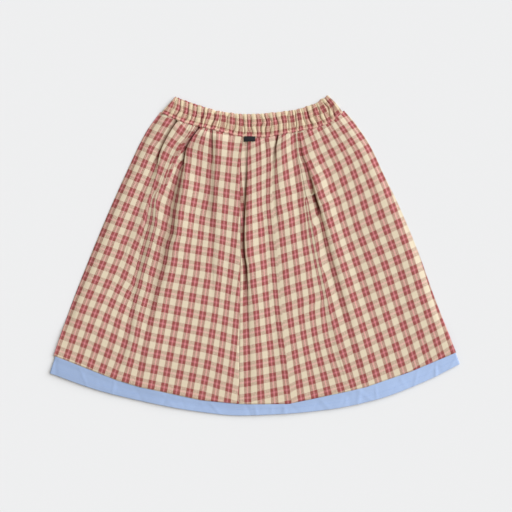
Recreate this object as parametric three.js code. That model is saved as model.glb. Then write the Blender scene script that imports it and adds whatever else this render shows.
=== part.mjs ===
// A gathered skirt of two layers, laid flat on its front with the back up: millimetres, +Z up,
// +Y towards the waist, the origin on the surface under the middle of the whole outline.
import * as THREE from 'three';

// Driving dimensions of the cloth and of the stack that it lies in.
const CLOTH = 1.0;
const SEAM_GAP = 0.3;
const LAYER = CLOTH + SEAM_GAP;
const WAIST_GAP = 0.6;
const BAND_FRONT_WALL = 2.2;
const BAND_BACK_WALL = 2.4;
const LABEL = { width: 21, height: 9.5, wall: 0.8, middleX: -11, topY: 217, reach: 4,
  columns: 10, rows: 4 };
const GATHERS = { count: 33, height: 0.9, columnsEach: 4 };
const SWELL = { edge: 0.12, thinnest: 0.75 };
const PUCKERS = { height: 1.1, pitch: 17, length: 75 };
const SIDE = { inset: 8, roll: 7, hemFree: 0.08, hemFlat: 0.1, rollDrop: LAYER * 2 };
const HEM_DROP = 12;

// Outlines of the laid skirt, as its back is seen from above: [x, y].
const SIDE_LEFT = [[-373, -189], [-356, -139], [-331, -68], [-300, 9], [-265, 87], [-229, 168],
  [-199, 228], [-174, 263]];
const SIDE_RIGHT = [[373, -183], [353, -139], [325, -68], [296, 9], [265, 87], [224, 168],
  [195, 228], [161, 264]];
const CENTRE_BACK = [[-31, -272], [-30, -176], [-29, -83], [-28, -9], [-28, 74], [-29, 157],
  [-26, 194], [-22, 219]];
const BAND_TOP = [[-147, 292], [-110, 279], [-66, 266], [-21, 259], [23, 263], [68, 268],
  [106, 278], [134, 295]];
const BAND_SEAM = [[-174, 264], [-138, 248], [-99, 237], [-69, 230], [-21, 220], [16, 219],
  [53, 225], [84, 231], [114, 237], [140, 248], [161, 265]];
const OUTER_HEM = [[-373, -189], [-288, -218], [-199, -244], [-110, -263], [-31, -272], [45, -272],
  [134, -259], [223, -235], [312, -202], [373, -183]];
const UNDER_HEM = [[-379, -216], [-288, -250], [-199, -272], [-110, -289], [-31, -296], [45, -292],
  [134, -285], [223, -266], [312, -233], [379, -204]];

// Folds that run down from the waist. A lap is a step up to its right, a swell is round. Each path
// has a point per row of heights, and falls to nothing at its lower end.
const FOLDS = [
  { name: 'side_lap', kind: 'lap', reach: 34, path: [[-145, 246], [-175, 196], [-195, 133],
    [-214, 28], [-228, -78]], height: [5, 5.5, 4, 5, 0] },
  { name: 'hip_lap', kind: 'lap', reach: 38, path: [[-103, 235], [-134, 181], [-158, 78],
    [-171, -9], [-197, -128]], height: [6, 6.5, 5, 3, 0] },
  { name: 'left_swell', kind: 'swell', reach: 22, path: [[-68, 226], [-62, 176], [-70, 89],
    [-48, 0], [-40, -83]], height: [3, 2.5, 2, 2, 0] },
  { name: 'centre_lap', kind: 'lap', reach: 30, path: [[-14, 213], [-18, 142], [-19, 96],
    [-22, 31], [-24, -13], [-16, -272]], height: [3.5, 4, 4, 3, 0, 0] },
  { name: 'right_lap', kind: 'lap', reach: 30, path: [[42, 222], [23, 142], [25, 91],
    [32, -18], [42, -102]], height: [4, 4, 3.5, 3, 0] },
  { name: 'great_lap', kind: 'lap', reach: 46, path: [[84, 229], [95, 166], [114, 102],
    [134, 0], [151, -57]], height: [6, 7, 7, 5, 0] },
  { name: 'side_swell', kind: 'swell', reach: 30, path: [[150, 232], [185, 120], [205, 20],
    [215, -60], [222, -120]], height: [2.5, 3, 2.5, 2, 0] },
];
const LAP_STEP = 3.5;
const LEFT_LAPS = ['side_lap', 'hip_lap'];
const RIGHT_LAPS = ['centre_lap', 'right_lap', 'great_lap'];

const CHECK = { color: 0xcf9f8c, roughness: 0.9, metalness: 0 };
const BLUE = { color: 0xa4bde2, roughness: 0.85, metalness: 0 };
const BLACK = { color: 0x17171a, roughness: 0.8, metalness: 0 };

const mix = (a, b, f) => a + (b - a) * f;
const smooth = (a, b, x) => {
  const f = Math.min(1, Math.max(0, (x - a) / (b - a)));
  return f * f * (3 - 2 * f);
};

// The place at fraction f of an outline's length, on a smooth curve through its points.
function along(points, f) {
  const curve = new THREE.SplineCurve(points.map(([x, y]) => new THREE.Vector2(x, y)));
  const { x, y } = curve.getPoint(f);
  return [x, y];
}

// The height of an outline that runs left to right, at x.
function heightAt(points, x) {
  let low = 0;
  let high = 1;
  for (let step = 0; step < 24; step += 1) {
    const middle = (low + high) / 2;
    if (along(points, middle)[0] < x) low = middle;
    else high = middle;
  }
  return along(points, low)[1];
}

// Where a fold's line lies at height y, and how high the fold is there.
function foldAt(fold, y) {
  const { path, height } = fold;
  let row = 0;
  while (row < path.length - 2 && y < path[row + 1][1]) row += 1;
  const f = (path[row][1] - y) / (path[row][1] - path[row + 1][1]);
  const bounded = Math.min(1, Math.max(0, f));
  return { x: mix(path[row][0], path[row + 1][0], f), rise: mix(height[row], height[row + 1], bounded) };
}

function foldHeight(fold, x, y) {
  const { x: line, rise } = foldAt(fold, y);
  const d = x - line;
  if (fold.kind === 'swell') return rise * (1 - smooth(0, fold.reach, Math.abs(d)));
  return rise * smooth(-1, LAP_STEP, d) * (1 - smooth(LAP_STEP * 2, fold.reach, d));
}

// The height of the back's cloth above its lowest place: folds, and the puckers below the band.
function relief(x, y) {
  let z = FOLDS.reduce((sum, fold) => Math.max(sum, foldHeight(fold, x, y)), 0);
  const below = heightAt(BAND_SEAM, x) - y;
  const fade = 1 - smooth(0, PUCKERS.length, below);
  z += PUCKERS.height * fade * (1 + Math.sin((2 * Math.PI * x) / PUCKERS.pitch)) / 2;
  return z;
}

// A closed wall of cloth: rows of middle points, thickened along their normals inside the edge
// and straight up and down on it, so that neighbours keep their gap at a seam.
function wall(rows, thickness) {
  const count = rows.length;
  const across = rows[0].length;
  const at = (r, c) => new THREE.Vector3(...rows[r][c]);
  const normal = (r, c) => {
    if (r === 0 || c === 0 || r === count - 1 || c === across - 1) return new THREE.Vector3(0, 0, 1);
    const n = at(r, c + 1).sub(at(r, c - 1)).cross(at(r + 1, c).sub(at(r - 1, c))).normalize();
    return n.z < 0 ? n.negate() : n;
  };
  const positions = [];
  for (const side of [0.5, -0.5]) {
    for (let r = 0; r < count; r += 1) {
      for (let c = 0; c < across; c += 1) {
        const t = typeof thickness === 'function' ? thickness(r, c) : thickness;
        positions.push(...at(r, c).addScaledVector(normal(r, c), side * t));
      }
    }
  }
  const top = (r, c) => r * across + c;
  const under = (r, c) => count * across + top(r, c);
  const faces = [];
  const quad = (a, b, c, d) => faces.push(a, b, c, a, c, d);
  for (let r = 0; r < count - 1; r += 1) {
    for (let c = 0; c < across - 1; c += 1) {
      quad(top(r, c), top(r, c + 1), top(r + 1, c + 1), top(r + 1, c));
      quad(under(r, c), under(r + 1, c), under(r + 1, c + 1), under(r, c + 1));
    }
    quad(top(r, 0), top(r + 1, 0), under(r + 1, 0), under(r, 0));
    quad(top(r + 1, across - 1), top(r, across - 1), under(r, across - 1), under(r + 1, across - 1));
  }
  for (let c = 0; c < across - 1; c += 1) {
    quad(top(0, c + 1), top(0, c), under(0, c), under(0, c + 1));
    quad(top(count - 1, c), top(count - 1, c + 1), under(count - 1, c + 1), under(count - 1, c));
  }
  const geometry = new THREE.BufferGeometry();
  geometry.setAttribute('position', new THREE.Float32BufferAttribute(positions, 3));
  geometry.setIndex(faces);
  geometry.computeVertexNormals();
  return geometry;
}

function piece(name, geometry, finish) {
  const mesh = new THREE.Mesh(geometry, new THREE.MeshStandardMaterial(finish));
  mesh.name = name;
  return mesh;
}

// The places across a row, left to right: on both sides of each lap, where the side starts to roll
// over, and the spare ones shared out between.
function columnsWithLaps(left, right, sag, laps, sideIsLeft, count) {
  const width = right[0] - left[0];
  const place = (f) => [mix(left[0], right[0], f), mix(left[1], right[1], f) - sag * 4 * f * (1 - f)];
  const marks = [{ f: 0, open: !sideIsLeft }];
  if (sideIsLeft) marks.push({ f: SIDE.roll / width, open: true });
  for (const name of laps) {
    const fold = FOLDS.find((each) => each.name === name);
    let f = 0.5;
    for (let step = 0; step < 12; step += 1) {
      f = (foldAt(fold, place(f)[1]).x - left[0]) / width;
    }
    for (const part of [-0.4, 0.3, 1, 2]) {
      marks.push({ f: f + (part * LAP_STEP) / width, open: part === 2 });
    }
  }
  if (!sideIsLeft) marks.push({ f: 1 - SIDE.roll / width, open: false });
  marks.push({ f: 1, open: false });
  const openWidth = marks.reduce((sum, { f, open }, k) => sum + (open ? marks[k + 1].f - f : 0), 0);
  const spare = count - (marks.length - 1);
  const columns = [];
  let passed = 0;
  let used = 0;
  marks.forEach(({ f, open }, k) => {
    columns.push(place(f));
    if (!open) return;
    const span = marks[k + 1].f - f;
    passed += span;
    const extra = Math.round((spare * passed) / openWidth) - used;
    used += extra;
    for (let i = 1; i <= extra; i += 1) columns.push(place(f + (span * i) / (extra + 1)));
  });
  return columns;
}

// One half of the check back, from its side edge to the centre-back seam, hem first.
function backPanel({ side, laps, sideIsLeft, hemSag, waistSag, columns, rows }) {
  const grid = [];
  for (let r = 0; r <= rows; r += 1) {
    const v = r / rows;
    const edge = along(side, v);
    const centre = along(CENTRE_BACK, v);
    const inward = sideIsLeft ? 1 : -1;
    edge[0] += inward * SEAM_GAP / 2;
    centre[0] -= inward * SEAM_GAP / 2;
    const sag = mix(hemSag, waistSag, v);
    const [left, right] = sideIsLeft ? [edge, centre] : [centre, edge];
    const row = columnsWithLaps(left, right, sag, laps, sideIsLeft, columns);
    grid.push(row.map(([x, y]) => {
      const lift = smooth(0, SIDE.hemFlat, v);
      const low = 1 - smooth(0, SIDE.roll - 0.1, Math.abs(x - edge[0]));
      const roll = SIDE.rollDrop * low * smooth(SIDE.hemFree, SIDE.hemFree * 2, v);
      const top = r === rows ? heightAt(BAND_SEAM, x) - WAIST_GAP : y;
      const bottom = r === 0 ? heightAt(OUTER_HEM, x) : top;
      const quiet = smooth(0, SIDE.roll * 2, Math.abs(x - edge[0]));
      return [x, bottom, LAYER * 3 + CLOTH / 2 + relief(x, y) * quiet * lift - roll];
    }));
  }
  return wall(grid, CLOTH);
}

// A plain layer as wide as the skirt, its rows bent between its hem and its waist. One with a hem
// of its own below the check's drops by a layer's height just past it, on to what lies lower.
function layer({ hem, level, inset, drop, columns, rows }) {
  const sideAt = (side, v, inward) => {
    const [x, y] = along(side, v);
    return [x + inward * (SEAM_GAP / 2 + inset * smooth(0, SIDE.hemFree, v)), y];
  };
  const bend = (outline, v, u, lower) => {
    const left = sideAt(SIDE_LEFT, v, 1);
    const right = sideAt(SIDE_RIGHT, v, -1);
    return heightAt(outline, mix(left[0], right[0], u)) - lower - mix(left[1], right[1], u);
  };
  const stations = [];
  if (drop > 0) {
    stations.push({ v: 0, out: 6, fall: drop, y: (x) => heightAt(hem, x) });
    stations.push({ v: 0, out: 3, fall: drop, y: (x) => heightAt(OUTER_HEM, x) - HEM_DROP });
    stations.push({ v: 0, out: 0, fall: 0, y: (x) => heightAt(OUTER_HEM, x) - HEM_DROP / 4 });
  }
  for (let r = 0; r <= rows; r += 1) {
    const v = r / rows;
    const sides = [sideAt(SIDE_LEFT, v, 1)[1], sideAt(SIDE_RIGHT, v, -1)[1]];
    stations.push({ v, out: 0, fall: 0, y: (x, u) => mix(...sides, u)
      + (1 - v) * bend(OUTER_HEM, 0, u, 0) + v * bend(BAND_SEAM, 1, u, WAIST_GAP) });
  }
  return wall(stations.map(({ v, out, fall, y }) => {
    const left = sideAt(SIDE_LEFT, v, 1)[0] - out;
    const right = sideAt(SIDE_RIGHT, v, -1)[0] + out;
    const row = [];
    for (let c = 0; c <= columns; c += 1) {
      const x = mix(left, right, c / columns);
      row.push([x, y(x, c / columns), level + CLOTH / 2 - fall]);
    }
    return row;
  }), CLOTH);
}

// Half of the gathered casing. Its outer face is drawn up in upright folds, its ends are thinner.
function casing({ level, thickness, gather, columns, rows }) {
  const grid = [];
  const walls = [];
  for (let r = 0; r <= rows; r += 1) {
    const v = r / rows;
    const row = [];
    const wallRow = [];
    for (let c = 0; c <= columns; c += 1) {
      const u = c / columns;
      const phase = Math.cos(2 * Math.PI * GATHERS.count * u);
      const low = along(BAND_SEAM, u);
      const high = along(BAND_TOP, u);
      const swell = Math.sin(Math.PI * mix(SWELL.edge, 1 - SWELL.edge, v));
      const ridge = gather * swell * (1 + phase) / 2;
      const t = thickness * mix(SWELL.thinnest, 1, swell) + ridge;
      row.push([mix(low[0], high[0], v), mix(low[1], high[1], v) + (r === rows ? gather * phase : 0),
        level + t / 2]);
      wallRow.push(t);
    }
    grid.push(row);
    walls.push(wallRow);
  }
  return wall(grid, (r, c) => walls[r][c]);
}

// The tab lies on the back just below the waist seam, on the same folds, moved out by a gap.
function label() {
  const { width, height, wall: thickness, middleX, topY, columns, rows, reach } = LABEL;
  const grid = [];
  for (let r = 0; r <= rows; r += 1) {
    const row = [];
    for (let c = 0; c <= columns; c += 1) {
      const x = middleX + width * (c / columns - 0.5);
      const y = topY - height * (1 - r / rows);
      let crest = 0;
      for (const dx of [-reach, 0, reach]) crest = Math.max(crest, relief(x + dx, y));
      row.push([x, y, LAYER * 3 + CLOTH + crest + SEAM_GAP + thickness / 2]);
    }
    grid.push(row);
  }
  return wall(grid, thickness);
}

const skirt = new THREE.Group();
skirt.add(
  piece('outer_front', layer({ hem: OUTER_HEM, level: 0, inset: 0, drop: 0, columns: 22, rows: 12 }), CHECK),
  piece('underskirt_front', layer({ hem: UNDER_HEM, level: LAYER, inset: SIDE.inset, drop: LAYER,
    columns: 22, rows: 12 }), BLUE),
  piece('underskirt_back', layer({ hem: UNDER_HEM, level: LAYER * 2, inset: SIDE.inset, drop: LAYER,
    columns: 22, rows: 12 }), BLUE),
  piece('outer_back_left', backPanel({ side: SIDE_LEFT, laps: LEFT_LAPS, sideIsLeft: true, hemSag: 14,
    waistSag: 2, columns: 38, rows: 12 }), CHECK),
  piece('outer_back_right', backPanel({ side: SIDE_RIGHT, laps: RIGHT_LAPS, sideIsLeft: false, hemSag: 20,
    waistSag: 12, columns: 42, rows: 12 }), CHECK),
  piece('waistband_front', casing({ level: 0, thickness: BAND_FRONT_WALL, gather: 0,
    columns: 40, rows: 4 }), CHECK),
  piece('waistband_back', casing({ level: BAND_FRONT_WALL + SEAM_GAP, thickness: BAND_BACK_WALL,
    gather: GATHERS.height, columns: GATHERS.count * GATHERS.columnsEach, rows: 4 }), CHECK),
  piece('label', label(), BLACK),
);

export default skirt;
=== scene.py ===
"""A gathered two-layer skirt, laid flat with its back up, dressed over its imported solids.

Lengths in the tables are millimetres in the part's own frame: +X to the right, +Y from hem to
waist, +Z up from the surface. A row is one repeat of the check along the cloth, counted from the
hem (about 1) to the waist (about -16), and a column is one repeat across it.
"""

import logging
import math
from dataclasses import dataclass
from enum import Enum, IntEnum

import bpy
import mathutils
import numpy as np
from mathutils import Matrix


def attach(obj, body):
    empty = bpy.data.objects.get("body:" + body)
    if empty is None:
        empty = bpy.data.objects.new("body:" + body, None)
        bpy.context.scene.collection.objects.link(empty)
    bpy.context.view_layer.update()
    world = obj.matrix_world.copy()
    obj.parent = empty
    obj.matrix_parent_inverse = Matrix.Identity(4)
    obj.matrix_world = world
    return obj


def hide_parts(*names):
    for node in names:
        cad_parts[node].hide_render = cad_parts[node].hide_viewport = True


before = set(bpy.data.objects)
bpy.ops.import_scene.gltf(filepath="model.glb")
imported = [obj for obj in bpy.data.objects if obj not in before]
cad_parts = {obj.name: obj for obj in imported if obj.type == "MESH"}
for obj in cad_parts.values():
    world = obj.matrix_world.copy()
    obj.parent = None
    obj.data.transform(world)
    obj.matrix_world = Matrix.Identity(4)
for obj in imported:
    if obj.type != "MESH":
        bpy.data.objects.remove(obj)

MM = 0.001
LOG = logging.getLogger("skirt")
Table = tuple[tuple[float, ...], ...]
Colour = tuple[float, float, float, float]

# The check's repeat across and down, the cloth's thickness, and the height of a layer.
COLUMN_MM = 24.0
ROW_MM = 29.5
CLOTH_MM = 0.5
LAYER_MM = 1.3
# The stitches' way in from a hem's edge, and off the middle of the cloth, in metres.
HEM_STITCHES = 0.011
ABOVE_CLOTH = 0.00035
BELOW_CLOTH = -0.0002
# How high the tab lies, the hidden cloth of a full lap, and the spreads between which a turned
# lap becomes a soft flank.
TAB_LEVEL_MM = 9.3
TUCKED_MM = 5.0
FLANK_OVER_MM = (4.0, 9.0)
# How much of the warp's colour shows where it lies under and over, and the slubs' two scales.
WARP_SHARES = (0.255, 0.955)
SLUB_SCALES = (260.0, 2400.0)
# How often a search for a lap's turn, and one for a row, halves its range.
TURN_HALVINGS = 30
ROW_HALVINGS = 40

# Outlines of the laid skirt, as (x, y) in millimetres.
SIDE_LEFT: Table = ((-371.5, -189), (-355.5, -139), (-331, -68), (-301.5, 9), (-267.5, 87), (-232, 168),
                    (-201, 228), (-174, 263))
SIDE_RIGHT: Table = ((371.2, -183), (355, -139), (327.5, -68), (299.5, 9), (266.5, 87), (227, 168),
                     (197.5, 228), (161, 264))
BAND_TOP: Table = ((-147, 292), (-110, 279), (-66, 266), (-21, 261), (4, 261.5), (27, 263), (68, 268),
                   (106, 278), (134, 295))
BAND_SEAM: Table = ((-174, 264), (-138, 248), (-99, 237), (-69, 230), (-21, 220), (16, 219),
                    (53, 225), (84, 231), (114, 237), (140, 248), (161, 265))
OUTER_HEM: Table = ((-371.5, -187), (-330, -203.5), (-288, -220), (-240, -237.5), (-199, -248.3),
                    (-110, -267.8), (-31, -275.6), (38, -277), (62, -275.4), (88, -269.4), (134, -261.2),
                    (171, -252.2), (223, -239.6), (268, -223.3), (312, -206), (349, -190.5), (370, -181))
UNDER_HEM: Table = ((-380, -219), (-288, -251.2), (-199, -272.8), (-110, -289.2), (-31, -297),
                    (45, -294.4), (134, -286), (223, -267.6), (312, -234.6), (377, -202))
# The centre-back seam, as (y, x) in millimetres.
CENTRE_BACK: Table = ((-272, -31), (-176, -30), (-83, -29), (-9, -28), (74, -28), (157, -29),
                      (194, -26), (219, -22))


class Slot(Enum):
    """The record's material slots."""

    CHECK = "check_cloth"
    BLUE = "blue_cloth"
    TAPE = "label_tape"


class Station(IntEnum):
    """What each number of a line's station is."""

    ROW = 0
    X = 1
    Y = 2
    BEFORE = 3
    AFTER = 4
    RADIUS = 5
    SPREAD = 6


def smooth(start: float, end: float, at: np.ndarray | float) -> np.ndarray:
    """Ease from 0 to 1.

    Args:
        start: where the rise starts.
        end: where it ends, which may be an array.
        at: where to take the value.

    Returns:
        The value, 0 before the start and 1 past the end.
    """
    f = np.clip((np.asarray(at, dtype=float) - start) / (end - start), 0.0, 1.0)
    return f * f * (3.0 - 2.0 * f)


class Course:
    """A smooth curve through stations that never overshoots them."""

    def __init__(self, keys: np.ndarray, values: np.ndarray) -> None:
        """Keep the stations in rising order and work out the slope at each.

        Args:
            keys: where each station is.
            values: what the curve is worth there.
        """
        order = np.argsort(keys)
        self.keys = np.asarray(keys, dtype=float)[order]
        self.values = np.asarray(values, dtype=float)[order]
        rise = np.diff(self.values) / np.diff(self.keys)
        slopes = np.zeros_like(self.values)
        slopes[0], slopes[-1] = rise[0], rise[-1]
        before, after = rise[:-1], rise[1:]
        turns = before * after > 0
        total = np.where(turns, before + after, 1.0)
        slopes[1:-1] = np.where(turns, 2.0 * before * after / total, 0.0)
        self.slopes = slopes

    def __call__(self, at: np.ndarray | float) -> np.ndarray:
        """Give the curve's value, running straight on past its ends.

        Args:
            at: where to take the value.

        Returns:
            The value there, with the shape of at.
        """
        at = np.asarray(at, dtype=float)
        k = np.clip(np.searchsorted(self.keys, at, side="right") - 1, 0, len(self.keys) - 2)
        step = self.keys[k + 1] - self.keys[k]
        f = (at - self.keys[k]) / step
        g = np.clip(f, 0.0, 1.0)
        low, high = self.values[k], self.values[k + 1]
        m0, m1 = self.slopes[k] * step, self.slopes[k + 1] * step
        inside = (low * (1 + 2 * g) * (1 - g) ** 2 + high * g * g * (3 - 2 * g)
                  + m0 * g * (1 - g) ** 2 + m1 * g * g * (g - 1))
        return inside + np.where(f < 0, f * m0, 0.0) + np.where(f > 1, (f - 1) * m1, 0.0)


def height_course(outline: Table) -> Course:
    """Turn an outline into a curve.

    Args:
        outline: pairs of numbers, such as (x, y).

    Returns:
        The second of each pair as a curve over the first.
    """
    points = np.array(outline)
    return Course(points[:, 0], points[:, 1])


HEM = height_course(OUTER_HEM)
LONG_HEM = height_course(UNDER_HEM)
WAIST = height_course(BAND_SEAM)
SEAM = height_course(CENTRE_BACK)


@dataclass(frozen=True)
class Line:
    """A line down the cloth: a side edge, a seam, or a lap where cloth is hidden.

    Each station is (row, x, y, column left of it, column right of it, radius of the lap's turn,
    spread), as Station names them. Where the spread is large, the lap is a soft flank that wide
    instead of a turn. The flank's shade is how dark it is painted for its own shadow, from 0 to 1.
    """

    name: str
    stations: Table
    lap: bool = False
    flank_shade: float = 0.0

    def course(self, item: Station) -> Course:
        """Give one item of the stations as a curve over the rows."""
        table = np.array(self.stations)
        return Course(table[:, Station.ROW], table[:, item])

    def hidden(self, row: np.ndarray) -> np.ndarray:
        """Give how much cloth the line hides at each row, in millimetres."""
        return (self.course(Station.AFTER)(row) - self.course(Station.BEFORE)(row)) * COLUMN_MM


LEFT_LINES = (
    Line("side", (
        (2, -379.5, -202, -0.05, -0.05, 0, 0), (-2, -341, -92, -0.1, -0.1, 0, 0),
        (-5, -309, -10, -0.2, -0.2, 0, 0), (-8, -276, 70, -0.22, -0.22, 0, 0),
        (-11, -239.5, 152, -0.22, -0.22, 0, 0), (-14, -202.5, 228, -0.12, -0.12, 0, 0),
        (-16, -168, 276, 0, 0, 0, 0))),
    Line("side_crease", (
        (2, -327, -223, 2.45, 2.45, 0.3, 0), (-2, -288, -111, 2.45, 2.45, 0.3, 0),
        (-5, -254, -30, 2.45, 2.45, 0.3, 0), (-8, -222, 51, 2.4, 2.5, 0.5, 16),
        (-10, -203, 105, 2.32, 2.6, 0.9, 18), (-11, -193, 134, 2.22, 2.65, 1.0, 16),
        (-12, -184, 160, 2.15, 2.65, 1.1, 10), (-13, -178, 187, 2.0, 2.6, 1.3, 3),
        (-14, -167, 212, 1.75, 2.45, 1.6, 0), (-15, -150, 240, 1.75, 2.4, 1.6, 0),
        (-16, -127, 268, 1.8, 2.3, 1.2, 0)), lap=True),
    Line("side_lap", (
        (2, -264, -250, 5.3, 5.3, 0.3, 10), (-2, -230, -138, 5.2, 5.4, 0.35, 14),
        (-4, -224, -79.5, 4.6, 5, 0.5, 16), (-5, -219, -52, 4.2, 4.82, 0.6, 16),
        (-6, -210, -22, 4.15, 5.05, 0.7, 22), (-8, -197, 35, 3.75, 4.95, 0.8, 26),
        (-9, -191.5, 63, 3.5, 4.85, 0.8, 24), (-10, -189, 96, 3.3, 4.68, 0.4, 14),
        (-11, -179.5, 125, 3.4, 4.6, 0.1, 6), (-12, -170, 152.5, 3.4, 4.6, 0.04, 0),
        (-14, -148, 201.5, 3.42, 4.6, 0.04, 0), (-15, -130, 224, 3.45, 4.6, 0.04, 0),
        (-16, -118, 246, 3.4, 4.65, 0.04, 0)), lap=True, flank_shade=0.12),
    Line("hip_lap", (
        (2, -221, -263, 7, 7, 0.3, 10), (-2, -199, -150, 6.98, 7.02, 0.35, 12),
        (-5, -180.5, -66.5, 6.87, 7.17, 0.5, 14), (-7, -165.5, -10, 6.85, 7.3, 0.7, 16),
        (-8, -160, 18.5, 6.85, 7.4, 0.8, 18), (-9, -151.5, 46, 6.85, 7.55, 0.9, 18),
        (-10, -150, 76, 6.58, 7.43, 1.1, 18), (-11, -145, 104.5, 6.55, 7.47, 1.3, 16),
        (-12, -139.5, 133, 6.5, 7.5, 1.6, 12), (-13, -134, 162.5, 6.3, 7.6, 1.2, 8),
        (-14, -130, 191, 5.46, 7.72, 1.4, 0), (-15, -117.5, 216, 5.1, 8, 2.3, 0),
        (-16, -101, 237, 5.1, 8.2, 2.6, 0)), lap=True, flank_shade=0.45),
    Line("back_pleat", (
        (2, -105.5, -288.5, 12, 12, 0.3, 0), (-2, -88, -173.5, 11.9, 11.9, 0.3, 0),
        (-5, -80.5, -86, 11.67, 11.67, 0.3, 0), (-8, -79, 4.5, 11.2, 11.24, 0.4, 10),
        (-10, -80, 59.5, 10.9, 10.98, 0.5, 12), (-12, -78, 119, 10.5, 10.88, 0.45, 12),
        (-13, -78.7, 148, 10.33, 10.7, 0.4, 11), (-14, -79.5, 177, 10.19, 10.53, 0.4, 7.5),
        (-16, -80, 232, 10.15, 10.45, 0.5, 5)), lap=True, flank_shade=0.6),
    Line("seam", (
        (2, -31.5, -305, 15, 15, 0, 0), (0, -31, -251, 14.8, 14.8, 0, 0),
        (-2, -30, -190, 14.54, 14.54, 0, 0), (-5, -28.5, -98, 14.23, 14.23, 0, 0),
        (-8, -28, -11, 13.75, 13.75, 0, 0), (-10, -28, 49, 13.48, 13.48, 0, 0),
        (-12, -29.5, 109, 13.2, 13.2, 0, 0), (-14, -29, 170, 12.97, 12.97, 0, 0),
        (-16, -22, 226, 12.9, 12.9, 0, 0))),
)

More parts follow.
